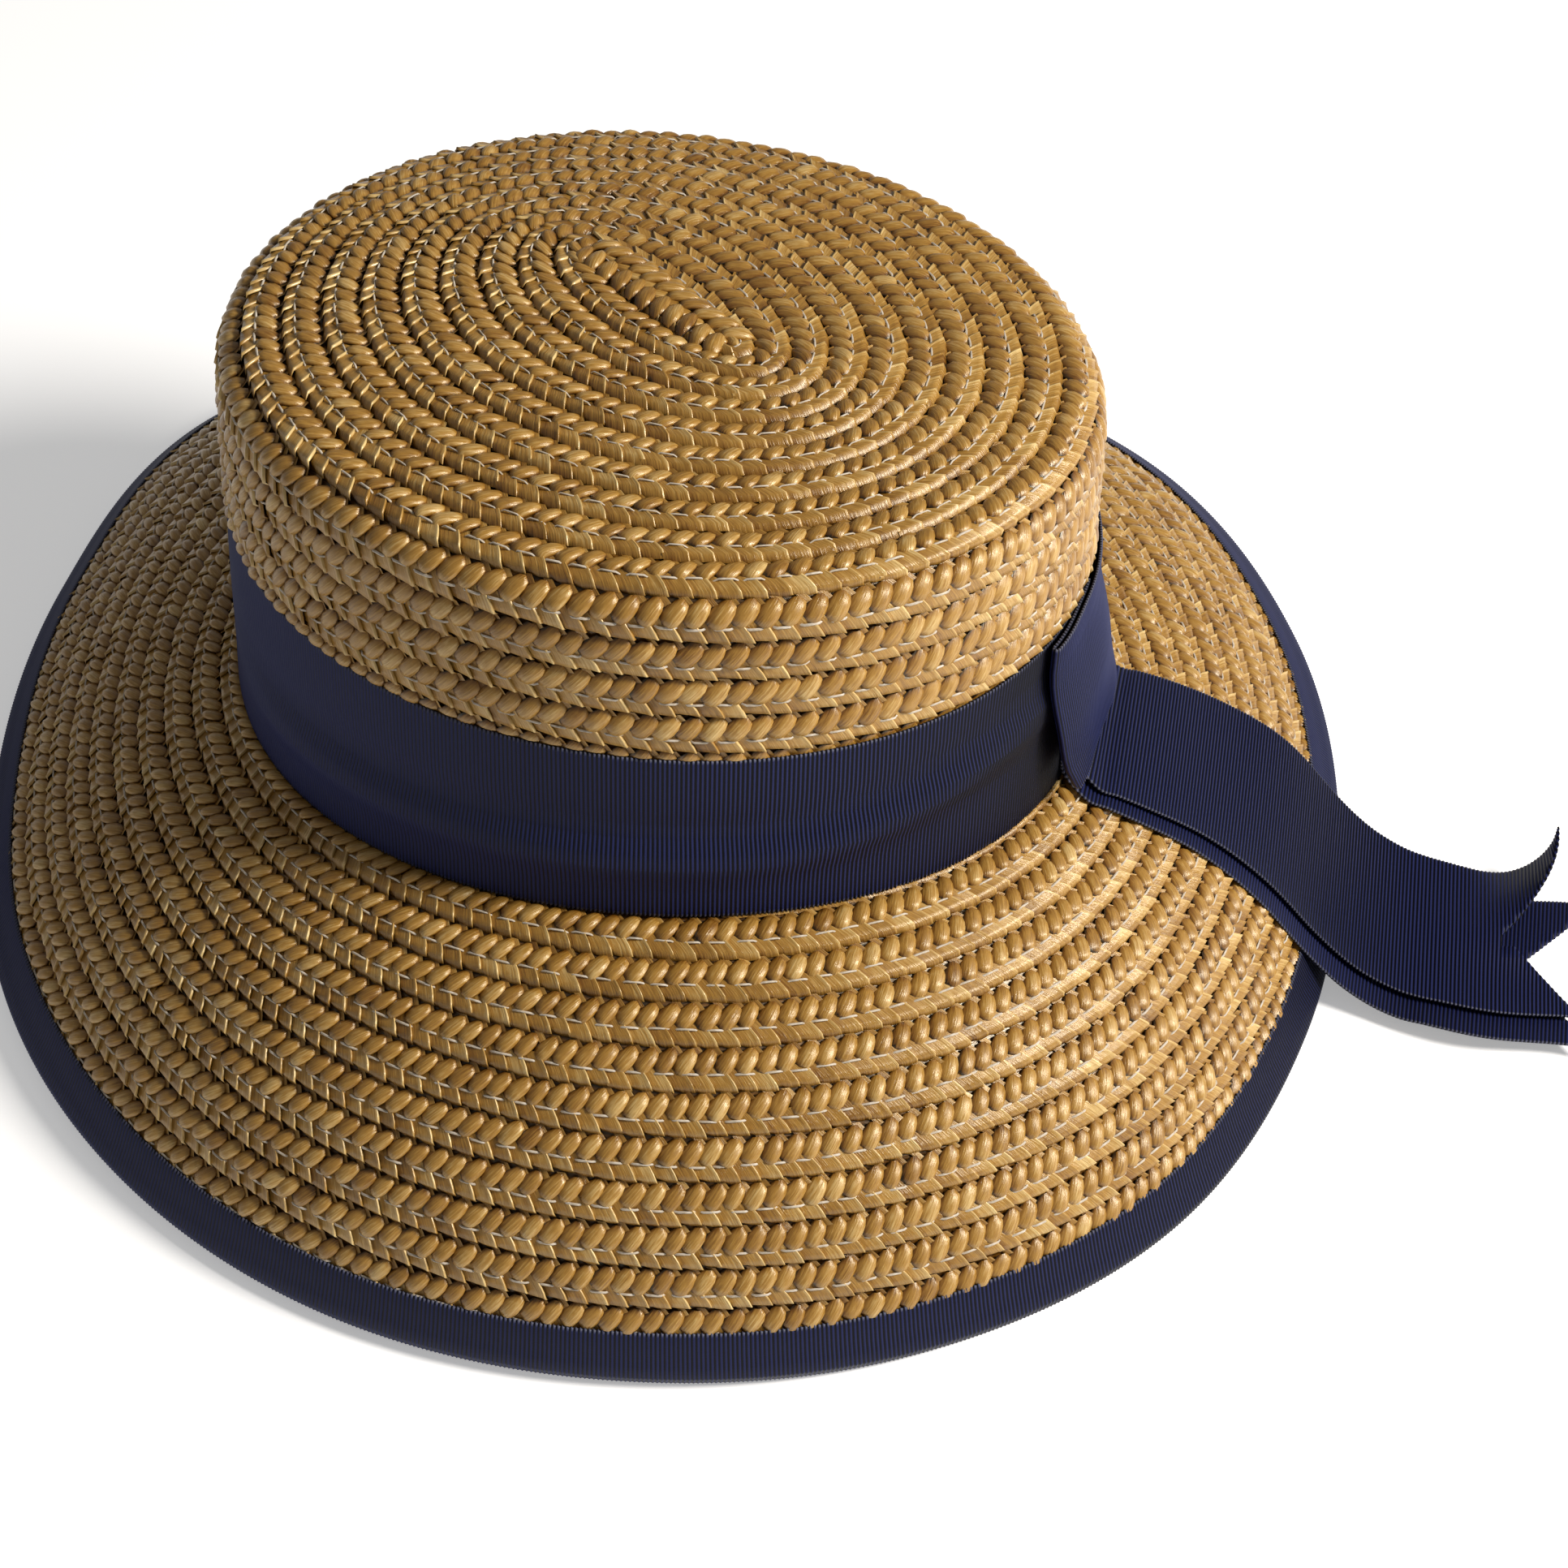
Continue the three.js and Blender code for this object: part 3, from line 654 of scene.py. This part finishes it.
def strand_shape(spots, rise):
    """The flat folded strand of the lower lane, its right edge over the next strand."""
    xi = np.interp(spots[:, 0], np.linspace(-1, 1, 7), (-1, -0.5, 0.1, 0.62, 0.86, 0.97, 1))
    eta = spots[:, 1]
    along, across = between_sides(STRAND, np.stack([xi, eta], -1))
    rim_height = 0.20
    tuck = 0.62
    foot_drop = 0.30
    edge_drop = 1.6
    tilt = 0.34 + 0.36 * xi
    rim = rim_height * np.exp(-((xi - 0.93) / 0.09) ** 2) - tuck * (xi > 0.985)
    over = smooth((eta - 0.62) / 0.38)
    lift = tilt + rim * (1 - over) - foot_drop * smooth((-eta - 0.5) / 0.5) - edge_drop * over ** 2
    across = across - 0.030 * over * (xi < -0.2) - 0.02 * over * np.abs(xi) ** 2
    # Painted highlight on the folded rim at the right edge; painted shade on the flat face left of its
    # middle, and where the strand folds over the row's edge.
    edge = np.exp(-((xi - 0.93) / 0.08) ** 2)
    painted_shading = 0.30 * edge - 0.26 * np.exp(-((xi + 0.30) / 0.22) ** 2) * (1 - edge) - 0.18 * over
    stalk = np.stack([eta * 2.8, xi * 2.4], -1)
    return along, across, lift, stalk, painted_shading


def stitch_shape(spots, radius):
    """One running stitch of round thread that dives in at both ends."""
    round_ = spots[:, 0] * math.pi
    eta = spots[:, 1]
    dive = np.abs(eta) ** 5
    along = 0.48 * eta
    side = radius * np.cos(round_)
    lift = radius * np.sin(round_) - 1.1 * dive
    return along, side, lift, np.stack([eta, spots[:, 0]], -1)


def lay(name, winding, spacing, shape, size, grid, rng, skip=None):
    """Lays copies of a shape along a winding, each a little different."""
    tone_middle = 0.5
    tone_spread = 0.065
    spots, faces = flat_grid(*grid)
    along, across, lift, stalk, painted_shading = shape(spots, size)
    runs = winding.places(spacing)
    if skip is not None:
        runs = runs[~skip(runs)]
    count = len(runs)

    def vary(spread):
        return 1 + spread * rng.uniform(-1, 1, (count, 1))

    shift = 0.05 * rng.uniform(-1, 1, (count, 1))
    run = runs[:, None] + (along * vary(0.07) + shift) * spacing
    row_place = across * vary(0.03) + 0.015 * rng.uniform(-1, 1, (count, 1))
    lean = rng.normal(0, 0.11, (count, 2, 1))
    high = lift * vary(0.14) + 0.04 * rng.uniform(-1, 1, (count, 1)) \
        + lean[:, 0] * spots[:, 0] + lean[:, 1] * spots[:, 1]
    points = winding.point(run, row_place, high)
    uv = stalk[None] + rng.uniform(0, 400, (count, 1, 2))
    # Each strand's own random tone, plus the shape's painted shade and highlight.
    tone = np.clip(rng.normal(tone_middle, tone_spread, (count, 1)), 0.3, 0.75) + painted_shading
    return joined(name, points, faces, uv, tone)


LANES = (("knots", knot_shape, (6, 5)), ("underlay", under_shape, (2, 2)),
         ("strands", strand_shape, (6, 5)))


def lay_lanes(part, winding, straw, rng, material, skip=None):
    """Lays a part's plait, lane by lane, and sews it."""
    for lane, shape, grid in LANES:
        name = part + "_" + lane
        mesh = lay(name, winding, winding.knot * 1000, shape, straw.knot_rise * 1000, grid, rng, skip)
        finished(name, mesh, material)
    lay_stitches(part + "_stitches", winding, straw, rng)


def shell(name, rings, closed, covered):
    """A mesh of rings of points, each closed; the last ring is joined to the first or not.

    The first rings, under the plait that covers them, are painted dark as shade; the rest show inside the
    hat.
    """
    count = len(rings[0])
    points = np.concatenate(rings)
    spans = len(rings) if closed else len(rings) - 1
    faces = []
    for ring in range(spans):
        a = ring * count + np.arange(count)
        b = ring * count + (np.arange(count) + 1) % count
        jump = ((ring + 1) % len(rings) - ring) * count
        faces.append(np.stack([a, a + jump, b + jump, b], -1))
    ring_of = np.repeat(np.arange(len(rings)), count)
    # Covered rings take a near-black tone: painted shade under the plait.
    tone = np.where(ring_of < covered, 0.10, 0.42 + 0.10 * (ring_of % 2))
    plan = np.stack([np.tile(np.arange(count), len(rings)) * 3.0, ring_of * 4.0], -1)
    return straw_mesh(name, points, np.concatenate(faces), tone, plan)


WALL_STEPS = 216
ROUND = np.arange(WALL_STEPS) * TURN / WALL_STEPS


class HAT_OT_crown(bpy.types.Operator):
    """Lays the crown's spiral of plait over its wall"""
    bl_idname = "hat.crown"
    bl_label = "Crown plait"

    def execute(self, context):
        straw = context.scene.hat_straw
        rng = np.random.default_rng(straw.seed)
        material = material_once("wheat_straw_plait", straw_material, straw)
        foot = CROWN_ARC + BAND_TOP
        low = crown_point(ROUND, foot, 0.0)
        headline = headline_height(np.arctan2(low[:, 1], low[:, 0]))
        reach_arc = foot - headline - CLEARANCE
        sections = [(0.02, -0.4)]
        for row in range(1, CROWN_ROWS + 1):
            end = row * CROWN_PITCH
            sections += [(end - CROWN_PITCH / 2, -0.35), (end, -0.3)]
        sections += [(CROWN_ARC + 12.0, -0.2), (reach_arc, -0.2), (reach_arc, -STRAW_WALL)]
        covered = len(sections) - 1
        for row in range(CROWN_ROWS, -1, -1):
            end = max(row * CROWN_PITCH, 0.02)
            sections += [(end + 0.4, -STRAW_WALL), (end, -STRAW_WALL + 0.7)]
        rings = [crown_point(ROUND, arc, lift) for arc, lift in sections]
        wall = shell("crown_wall", rings, False, covered)
        finished("crown_wall", wall, material, replaced=("crown",))
        winding = Winding(crown_surface, math.radians(200), CROWN_ROWS + 0.9, straw.crown_knot)
        lay_lanes("crown", winding, straw, rng, material)
        for side, name in ((1, "crown_start_near"), (-1, "crown_start_far")):
            start = Straight(lambda along, row, across, lift: slit_surface(along, across, lift, side),
                             TIP_SLIT + 8.0)
            mesh = lay(name, start, straw.crown_knot * 1000, knot_shape, straw.knot_rise * 1000,
                       (6, 6), rng)
            finished(name, mesh, material)
        return {"FINISHED"}


def lay_stitches(name, winding, straw, rng):
    """Sews a winding with a running stitch near the foot of its knots."""
    spots, faces = flat_grid(4, 4)
    along, side, lift, stalk = stitch_shape(spots, straw.thread * 1000)
    spacing = straw.stitch * 1000
    runs = winding.places(spacing)
    count = len(runs)
    jitter = rng.uniform(-1, 1, (count, 5, 1))
    slant = 0.022 * jitter[:, 0]
    run = runs[:, None] + along * spacing * (1 + 0.08 * jitter[:, 1]) + 0.3 * jitter[:, 2]
    row_place = STITCH_LINE + 0.02 * jitter[:, 3] + slant * along + side / CROWN_PITCH
    high = STITCH_LIFT + 0.10 * jitter[:, 4] + lift
    points = winding.point(run, row_place, high)
    uv = np.broadcast_to(stalk, (count,) + stalk.shape)
    mesh = joined(name, points, faces, uv, np.ones((count, len(spots))))
    thread = material_once("cotton_thread", thread_material, straw)
    return finished(name, mesh, thread)


class HAT_OT_brim(bpy.types.Operator):
    """Lays the brim's spiral of plait over its wall"""
    bl_idname = "hat.brim"
    bl_label = "Brim plait"

    def execute(self, context):
        straw = context.scene.hat_straw
        rng = np.random.default_rng(straw.seed + 1)
        material = material_once("wheat_straw_plait", straw_material, straw)
        length = BRIM.at(BRIM.arc, ROUND)
        ends = [(length - BINDING_COVER) * row / BRIM_ROWS for row in range(BRIM_ROWS + 1)]
        sections = [(-STRAW_WALL, -0.2)] + [(end, -0.3) for end in ends] + [(length - 3.2, -0.2)]
        covered = len(sections)
        sections += [(length - 3.2, -STRAW_WALL)]
        for end in reversed(ends):
            sections += [(end + 0.4, -STRAW_WALL), (end, -STRAW_WALL + 0.6)]
        sections += [(-STRAW_WALL, -STRAW_WALL + 0.4)]
        rings = [BRIM.point(ROUND, distance, lift) for distance, lift in sections]
        wall = shell("brim_wall", rings, True, covered)
        finished("brim_wall", wall, material, replaced=("brim",))
        winding = Winding(brim_surface, math.radians(238), BRIM_ROWS + 0.95, straw.brim_knot)

        def hidden(runs):
            turned = np.interp(runs, winding.run, winding.turned)
            row = (turned - winding.start) / TURN
            return (row < 0.12) | (row > BRIM_ROWS + 0.9)

        lay_lanes("brim", winding, straw, rng, material, skip=hidden)
        return {"FINISHED"}


SELVEDGE = 0.9           # width of the ribbon's looped edge


def ribbon(name, width, length, place, settings, *, columns=14, wall=0.5, per_rib=4, notch=0.0,
           replaced=()):
    """Cuts a ribbed ribbon flat, notches its far end, and lays it: place(along, across, lift)."""
    ribs = round(length / (settings.rib * 1000))
    spacing = length / ribs
    bm = bmesh.new()
    bmesh.ops.create_grid(bm, x_segments=ribs * per_rib, y_segments=columns, size=1.0)
    bmesh.ops.translate(bm, verts=bm.verts, vec=(1.0, 0.0, 0.0))
    bmesh.ops.scale(bm, verts=bm.verts, vec=(length / 2, width / 2, 1.0))
    for vert in bm.verts:
        if width / 2 - 0.01 > abs(vert.co.y) > width / 2 - 1.5 * width / columns:
            vert.co.y = math.copysign(width / 2 - SELVEDGE, vert.co.y)
    for sign in (1, -1) if notch else ():
        half = [f for f in bm.faces if sign * f.calc_center_median().y > 0]
        edges = dict.fromkeys(e for f in half for e in f.edges)      # in order, as a set isn't
        verts = dict.fromkeys(v for f in half for v in f.verts)
        bmesh.ops.bisect_plane(bm, geom=[*half, *edges, *verts], dist=0.001,
                               plane_co=(length - notch, 0.0, 0.0),
                               plane_no=(width / 2, -sign * notch, 0.0), clear_outer=True)
    mesh = bpy.data.meshes.new(name)
    bm.to_mesh(mesh)
    bm.free()
    flat = np.empty(len(mesh.vertices) * 3)
    mesh.vertices.foreach_get("co", flat)
    flat = flat.reshape(-1, 3)[:, :2]
    crest = 0.5 + 0.5 * np.cos(TURN * flat[:, 0] / spacing)
    selvedge = np.abs(flat[:, 1]) > width / 2 - 0.01
    mesh.attributes.new("selvedge", "FLOAT", "POINT").data.foreach_set("value", selvedge.astype(float))
    across = flat[:, 1] * (1 + selvedge * (0.9 * crest - 0.45) / width)
    depth = settings.rib_depth * 1000 * crest * np.where(selvedge, 0.5, 1.0)
    points = place(flat[:, 0], across, depth)
    mesh.vertices.foreach_set("co", metres(points).ravel())
    owner = np.empty(len(mesh.loops), dtype=np.int32)
    mesh.loops.foreach_get("vertex_index", owner)
    layer = mesh.uv_layers.new(name="ribbon")
    layer.data.foreach_set("uv", flat[owner].ravel())
    material = material_once("navy_grosgrain", grosgrain_material, settings)
    piece = finished(name, mesh, material, replaced=replaced)
    thick = piece.modifiers.new("wall", "SOLIDIFY")
    thick.thickness = wall / 1000
    thick.offset = -1.0
    return piece


def side_point(angle, z, lift):
    """Point beside the crown's side, at a polar angle, height and distance off the straw."""
    reach = oval_radius(angle, flare_at(z)) + lift
    return to_hat(reach * np.cos(angle), reach * np.sin(angle), z)


class AroundCrown:
    """Length round the crown's foot to polar angle, from a starting angle."""

    def __init__(self, start, lift):
        self.angle = start + np.linspace(0, TURN, 1441)
        self.run = run_along(side_point(self.angle, 20.0, lift))
        self.length = self.run[-1]

    def at(self, run):
        return np.interp(run, self.run, self.angle)


BAND_STAND = 1.15        # how far the band stands off the crown's side
CREASE_DEPTH = 1.9


class HAT_OT_band(bpy.types.Operator):
    """Wraps the ribbon band round the crown's foot"""
    bl_idname = "hat.band"
    bl_label = "Hat band"

    def execute(self, context):
        settings = context.scene.hat_ribbon
        around = AroundCrown(math.radians(2), BAND_STAND)
        width = BAND_TOP

        def place(along, across, lift):
            angle = around.at(along)
            share = across / width + 0.5
            z = mix(headline_height(angle) + 2 * CLEARANCE, BAND_TOP + 0.3, share)
            front = smooth((-np.sin(angle) - 0.15) / 0.5)
            inner = np.sin(math.pi * np.clip(share, 0, 1))
            crease = 0.34 + 0.30 * smooth((np.degrees(angle) % 360 - 280) / 50)
            dent = np.exp(-((share - crease) / 0.11) ** 2)
            swell = 0.35 * np.exp(-((share - crease - 0.20) / 0.10) ** 2)
            soft = 0.25 * np.sin(7 * angle + 4 * share) + 0.2 * np.sin(13 * angle - 6 * share)
            stand = BAND_STAND + inner * (CREASE_DEPTH * front * (dent - swell) + 0.5 * soft)
            return side_point(angle, z, stand + lift)

        piece = ribbon("hat_band_ribbon", width, around.length - 0.6, place, settings,
                       columns=12, replaced=("hat_band",))
        return {"FINISHED"}


LAYER = RIBBON_WALL + CLEARANCE
BAND_FACE = CLEARANCE + RIBBON_WALL + 2 * CLEARANCE
LOOP_STAND = BAND_FACE + 2 * LAYER + CLEARANCE


class HAT_OT_loop(bpy.types.Operator):
    """Folds the flat loop that hides the tails' roots"""
    bl_idname = "hat.loop"
    bl_label = "Band loop"

    def execute(self, context):
        settings = context.scene.hat_ribbon
        front_length = 78.0
        back_length = 26.0
        fold = 0.75
        turn_length = math.pi * fold
        length = front_length + turn_length + back_length
        width = BAND_TOP - LOOP_FOOT + 6.0

        def place(along, across, lift):
            height = np.clip(across / width + 0.5, 0, 1)
            bend = np.clip((along - back_length) / turn_length, 0, 1) * math.pi
            forward = np.maximum(along - back_length - turn_length, 0)
            backward = np.maximum(back_length - along, 0)
            share = (forward + backward - fold * np.sin(bend)) / front_length
            angle = mix(LOOP_FROM + LOOP_SLANT * (1 - height) ** 4, LOOP_TO, share)
            z = mix(headline_height(angle) + LOOP_FOOT, BAND_TOP + CLEARANCE + 0.5, height)
            down = smooth((share - 0.85) / 0.15)
            flare = LOOP_FLARE * value_at(LOOP_WAY, "flare", np.clip(share, 0, 1))
            low = smooth((0.85 - height) / 0.5)
            over_roots = mix(BAND_FACE, LOOP_STAND, low) + flare * (1 - height) ** 3
            puffed = 1.1 * (1 - smooth(share / 0.25)) * height
            stand = mix(over_roots, BAND_FACE, down) + LOOP_WALL + puffed
            return side_point(angle, z, stand - fold * (1 + np.cos(bend)) - lift * np.cos(bend))

        piece = ribbon("band_loop_ribbon", width, length, place, settings, columns=12,
                       replaced=("band_loop",))
        return {"FINISHED"}


def way_at(column, share):
    """Value of one column of the tails' table at a share of the reach, in mm."""
    return RIBBON_WIDTH * value_at(TAIL_WAY, column, share)


class Tail:
    """The middle surface of one tail: rows of points along it, five columns across."""
    columns = np.array((-1.0, -0.5, 0.0, 0.5, 1.0))

    def __init__(self, stand, floor, reach, aside, yaw, curl):
        toward = TAIL_TOWARD
        heading = toward - yaw
        head = BRIM.at(BRIM.head_reach, toward) + stand
        run = np.linspace(0, reach, TAIL_STEPS + 1)
        share = np.minimum(run / TAIL_REACH, 1)
        grid = []
        for column in self.columns:
            across = column * RIBBON_WIDTH / 2 - aside
            side = across + way_at("side", share)
            x = head * math.cos(toward) + run * math.cos(heading) - side * math.sin(heading)
            y = head * math.sin(toward) + run * math.sin(heading) + side * math.cos(heading)
            lift = way_at("lift", share) + way_at("far", share) * (across / RIBBON_WIDTH + 0.5)
            z = self.drape(x, y, run, floor, lift)
            bend = max(curl * ((1 + column) / 2) ** 3, 1e-6) / TIP_CURL_LENGTH
            end = reach - TAIL_NOTCH * (1 - abs(column))
            curled = bend * np.maximum(0, run - end + TIP_CURL_LENGTH)
            back = (curled - np.sin(curled)) / bend
            x = x - back * math.cos(heading)
            y = y - back * math.sin(heading)
            z = z + (1 - np.cos(curled)) / bend
            swing = (column * RIBBON_WIDTH / 2 - aside) / head
            angle = toward + swing
            foot = headline_height(angle) + TAIL_TURN + floor
            root = np.stack([side_point(angle, foot + TAIL_ROOT * up, stand) for up in (1, 0.5, 0)])
            grid.append(np.concatenate([root, np.stack([x, y, z], -1)[1:]]))
        self.grid = np.stack(grid, 1)
        self.run = run_along(self.grid[:, 2])
        self.length = self.run[-1]

    @staticmethod
    def drape(x, y, run, floor, lift):
        over_brim = floor + LAP_STEP + 2 * CLEARANCE + PLAIT_RELIEF + lift
        rest = np.maximum(BRIM.height(x, y, over_brim), floor + lift)
        height = rest.copy()
        step = run[1] - run[0]
        for _ in range(400):
            for k in range(1, len(height) - 1):
                hang = (height[k - 1] + height[k + 1]) / 2 - TAIL_WEIGHT * step * step
                height[k] = max(rest[k], hang)
        return height

    def point(self, along, across, lift):
        """Point of the tail, along it from its root's top and across it, with a lift."""
        rows = len(self.grid)
        q = np.interp(along, self.run, np.arange(rows))
        c = np.clip(across / (RIBBON_WIDTH / 2) * 2 + 2, -0.02, 4.02)
        return self.smooth_at(q, c) + lift[:, None] * self.normal_at(q, c)

    def smooth_at(self, q, c):
        def pick(i, j):
            return self.grid[np.clip(i, 0, len(self.grid) - 1), np.clip(j, 0, 4)]
        row = np.clip(np.floor(q).astype(int), 0, len(self.grid) - 2)
        col = np.clip(np.floor(c).astype(int), 0, 3)
        fq = (q - row)[:, None]
        fc = (c - col)[:, None]
        lines = [through(*[pick(row + i, col + j) for j in (-1, 0, 1, 2)], fc) for i in (-1, 0, 1, 2)]
        return through(*lines, fq)

    def normal_at(self, q, c):
        step = 0.05
        ahead = self.smooth_at(np.minimum(q + step, len(self.grid) - 1), c)
        behind = self.smooth_at(np.maximum(q - step, 0), c)
        right = self.smooth_at(q, np.minimum(c + step, 4))
        left = self.smooth_at(q, np.maximum(c - step, 0))
        normal = np.cross(ahead - behind, right - left)
        return normal / np.linalg.norm(normal, axis=1, keepdims=True)


class HAT_OT_tails(bpy.types.Operator):
    """Drapes the two swallowtail ends over the brim"""
    bl_idname = "hat.tails"
    bl_label = "Ribbon tails"

    def execute(self, context):
        settings = context.scene.hat_ribbon
        stand = BAND_FACE + RIBBON_WALL / 2
        floor = RIBBON_WALL / 2
        lower = Tail(stand, floor, TAIL_REACH + LOWER_TAIL_MORE, LOWER_TAIL_ASIDE, LOWER_TAIL_YAW, 0.0)
        upper = Tail(stand + LAYER, floor + LAYER + CLEARANCE, TAIL_REACH, 0.0, 0.0, TIP_CURL)
        for name, tail, under in (("tail_lower", lower, "brim_wall"),
                                  ("tail_upper", upper, "tail_lower_ribbon")):
            piece = ribbon(name + "_ribbon", RIBBON_WIDTH, tail.length, tail.point, settings,
                           columns=14, notch=TAIL_NOTCH, replaced=(name,))
        return {"FINISHED"}


class HAT_OT_binding(bpy.types.Operator):
    """Folds the ribbon binding over the brim's edge"""
    bl_idname = "hat.binding"
    bl_label = "Edge binding"

    def execute(self, context):
        settings = context.scene.hat_ribbon
        toward = np.linspace(0, TURN, 1441)
        rim = BRIM.point(toward, BRIM.at(BRIM.arc, toward), 0.0)
        run = run_along(rim)
        top_width = 12.6
        under_width = 11.0
        bend = 2.0
        top_lift = 1.35
        under_lift = -STRAW_WALL - CLEARANCE - BINDING_WALL
        turn_length = math.pi * bend
        width = top_width + turn_length + under_width

        def place(along, across, lift):
            angle = np.interp(along, run, toward)
            arc = BRIM.at(BRIM.arc, angle)
            spot = across + width / 2
            under = np.maximum(under_width - spot, 0)
            top = np.maximum(spot - under_width - turn_length, 0)
            turned = np.clip((spot - under_width) / turn_length, 0, 1) * math.pi
            half = (top_lift - under_lift) / 2
            middle = (top_lift + under_lift) / 2
            back = 0.9 * bend
            distance = arc - back + back * np.sin(turned) - top - under
            last_row = 0.55 * smooth((top - top_width + 4.0) / 3.0)
            high = middle - half * np.cos(turned) + last_row
            facing = -np.cos(turned)
            point = BRIM.point(angle, distance + lift * np.sin(turned), high + lift * facing)
            point[:, 2] = np.maximum(point[:, 2], 0.0)
            return point

        piece = ribbon("edge_binding_ribbon", width, run[-1], place, settings, columns=10,
                       per_rib=3, wall=0.45, replaced=("edge_binding",))
        return {"FINISHED"}


def area_light(name, place, target, size, power, colour):
    data = bpy.data.lights.new(name, "AREA")
    data.shape = "DISK"
    data.size = size
    data.energy = power
    data.color = linear(colour)[:3]
    light = bpy.data.objects.new(name, data)
    light.location = place
    light.rotation_euler = (Vector(target) - Vector(place)).to_track_quat("-Z", "Y").to_euler()
    bpy.context.scene.collection.objects.link(light)


class HAT_OT_stage(bpy.types.Operator):
    """Sets the floor, the lights and the camera"""
    bl_idname = "hat.stage"
    bl_label = "Stage"

    def execute(self, context):
        stage = context.scene.hat_stage
        bm = bmesh.new()
        bmesh.ops.create_grid(bm, x_segments=1, y_segments=1, size=6.0)
        mesh = bpy.data.meshes.new("floor")
        bm.to_mesh(mesh)
        bm.free()
        floor = bpy.data.objects.new("floor", mesh)
        context.scene.collection.objects.link(floor)
        paper, _, _ = new_material("matt_paper", 0.9, Base_Color=linear(stage.floor),
                                   Emission_Color=linear("#ffffff"), Emission_Strength=stage.glow)
        mesh.materials.append(paper)

        target = (SHIFT[0], SHIFT[1], 0.06)
        key_size = 0.42
        level = stage.key_far * math.cos(stage.key_height)
        place = (SHIFT[0] + level * math.cos(stage.key_turn), SHIFT[1] + level * math.sin(stage.key_turn),
                 stage.key_far * math.sin(stage.key_height))
        area_light("key", place, target, key_size, stage.key, "#fffaf3")
        world = bpy.data.worlds.new("sky")
        world.use_nodes = True
        world.node_tree.nodes["Background"].inputs["Color"].default_value = linear("#ffffff")
        world.node_tree.nodes["Background"].inputs["Strength"].default_value = stage.sky
        context.scene.world = world

        data = bpy.data.cameras.new("camera")
        data.sensor_width = 36.0
        data.lens = stage.lens
        data.clip_start = 0.01
        camera = bpy.data.objects.new("camera", data)
        context.scene.collection.objects.link(camera)
        spot = Matrix.Translation(Vector(stage.camera_place) + Vector(SHIFT))
        tilt = Matrix.Rotation(math.pi / 2 - stage.camera_pitch, 4, "X")
        roll = Matrix.Rotation(stage.camera_roll, 4, "Z")
        camera.matrix_world = spot @ tilt @ roll
        context.scene.camera = camera
        context.scene.view_settings.view_transform = "Standard"
        return {"FINISHED"}


class HAT_PT_panel(bpy.types.Panel):
    """Lists the hat's pieces"""
    bl_idname = "HAT_PT_panel"
    bl_label = "Straw hat"
    bl_space_type = "VIEW_3D"
    bl_region_type = "UI"
    bl_category = "Straw hat"

    def draw(self, context):
        for operator in OPERATORS:
            self.layout.operator(operator.bl_idname)


OPERATORS = (HAT_OT_stage, HAT_OT_crown, HAT_OT_brim, HAT_OT_band, HAT_OT_tails, HAT_OT_loop,
             HAT_OT_binding)
GROUPS = (StrawSettings, RibbonSettings, StageSettings)
CLASSES = GROUPS + OPERATORS + (HAT_PT_panel,)


def register():
    for cls in CLASSES:
        bpy.utils.register_class(cls)
    bpy.types.Scene.hat_straw = PointerProperty(type=StrawSettings)
    bpy.types.Scene.hat_ribbon = PointerProperty(type=RibbonSettings)
    bpy.types.Scene.hat_stage = PointerProperty(type=StageSettings)


def unregister():
    del bpy.types.Scene.hat_stage
    del bpy.types.Scene.hat_ribbon
    del bpy.types.Scene.hat_straw
    for cls in reversed(CLASSES):
        bpy.utils.unregister_class(cls)


def main():
    register()
    bpy.ops.hat.stage()
    bpy.ops.hat.crown()
    bpy.ops.hat.brim()
    bpy.ops.hat.band()
    bpy.ops.hat.tails()
    bpy.ops.hat.loop()
    bpy.ops.hat.binding()


if __name__ == "__main__":
    main()
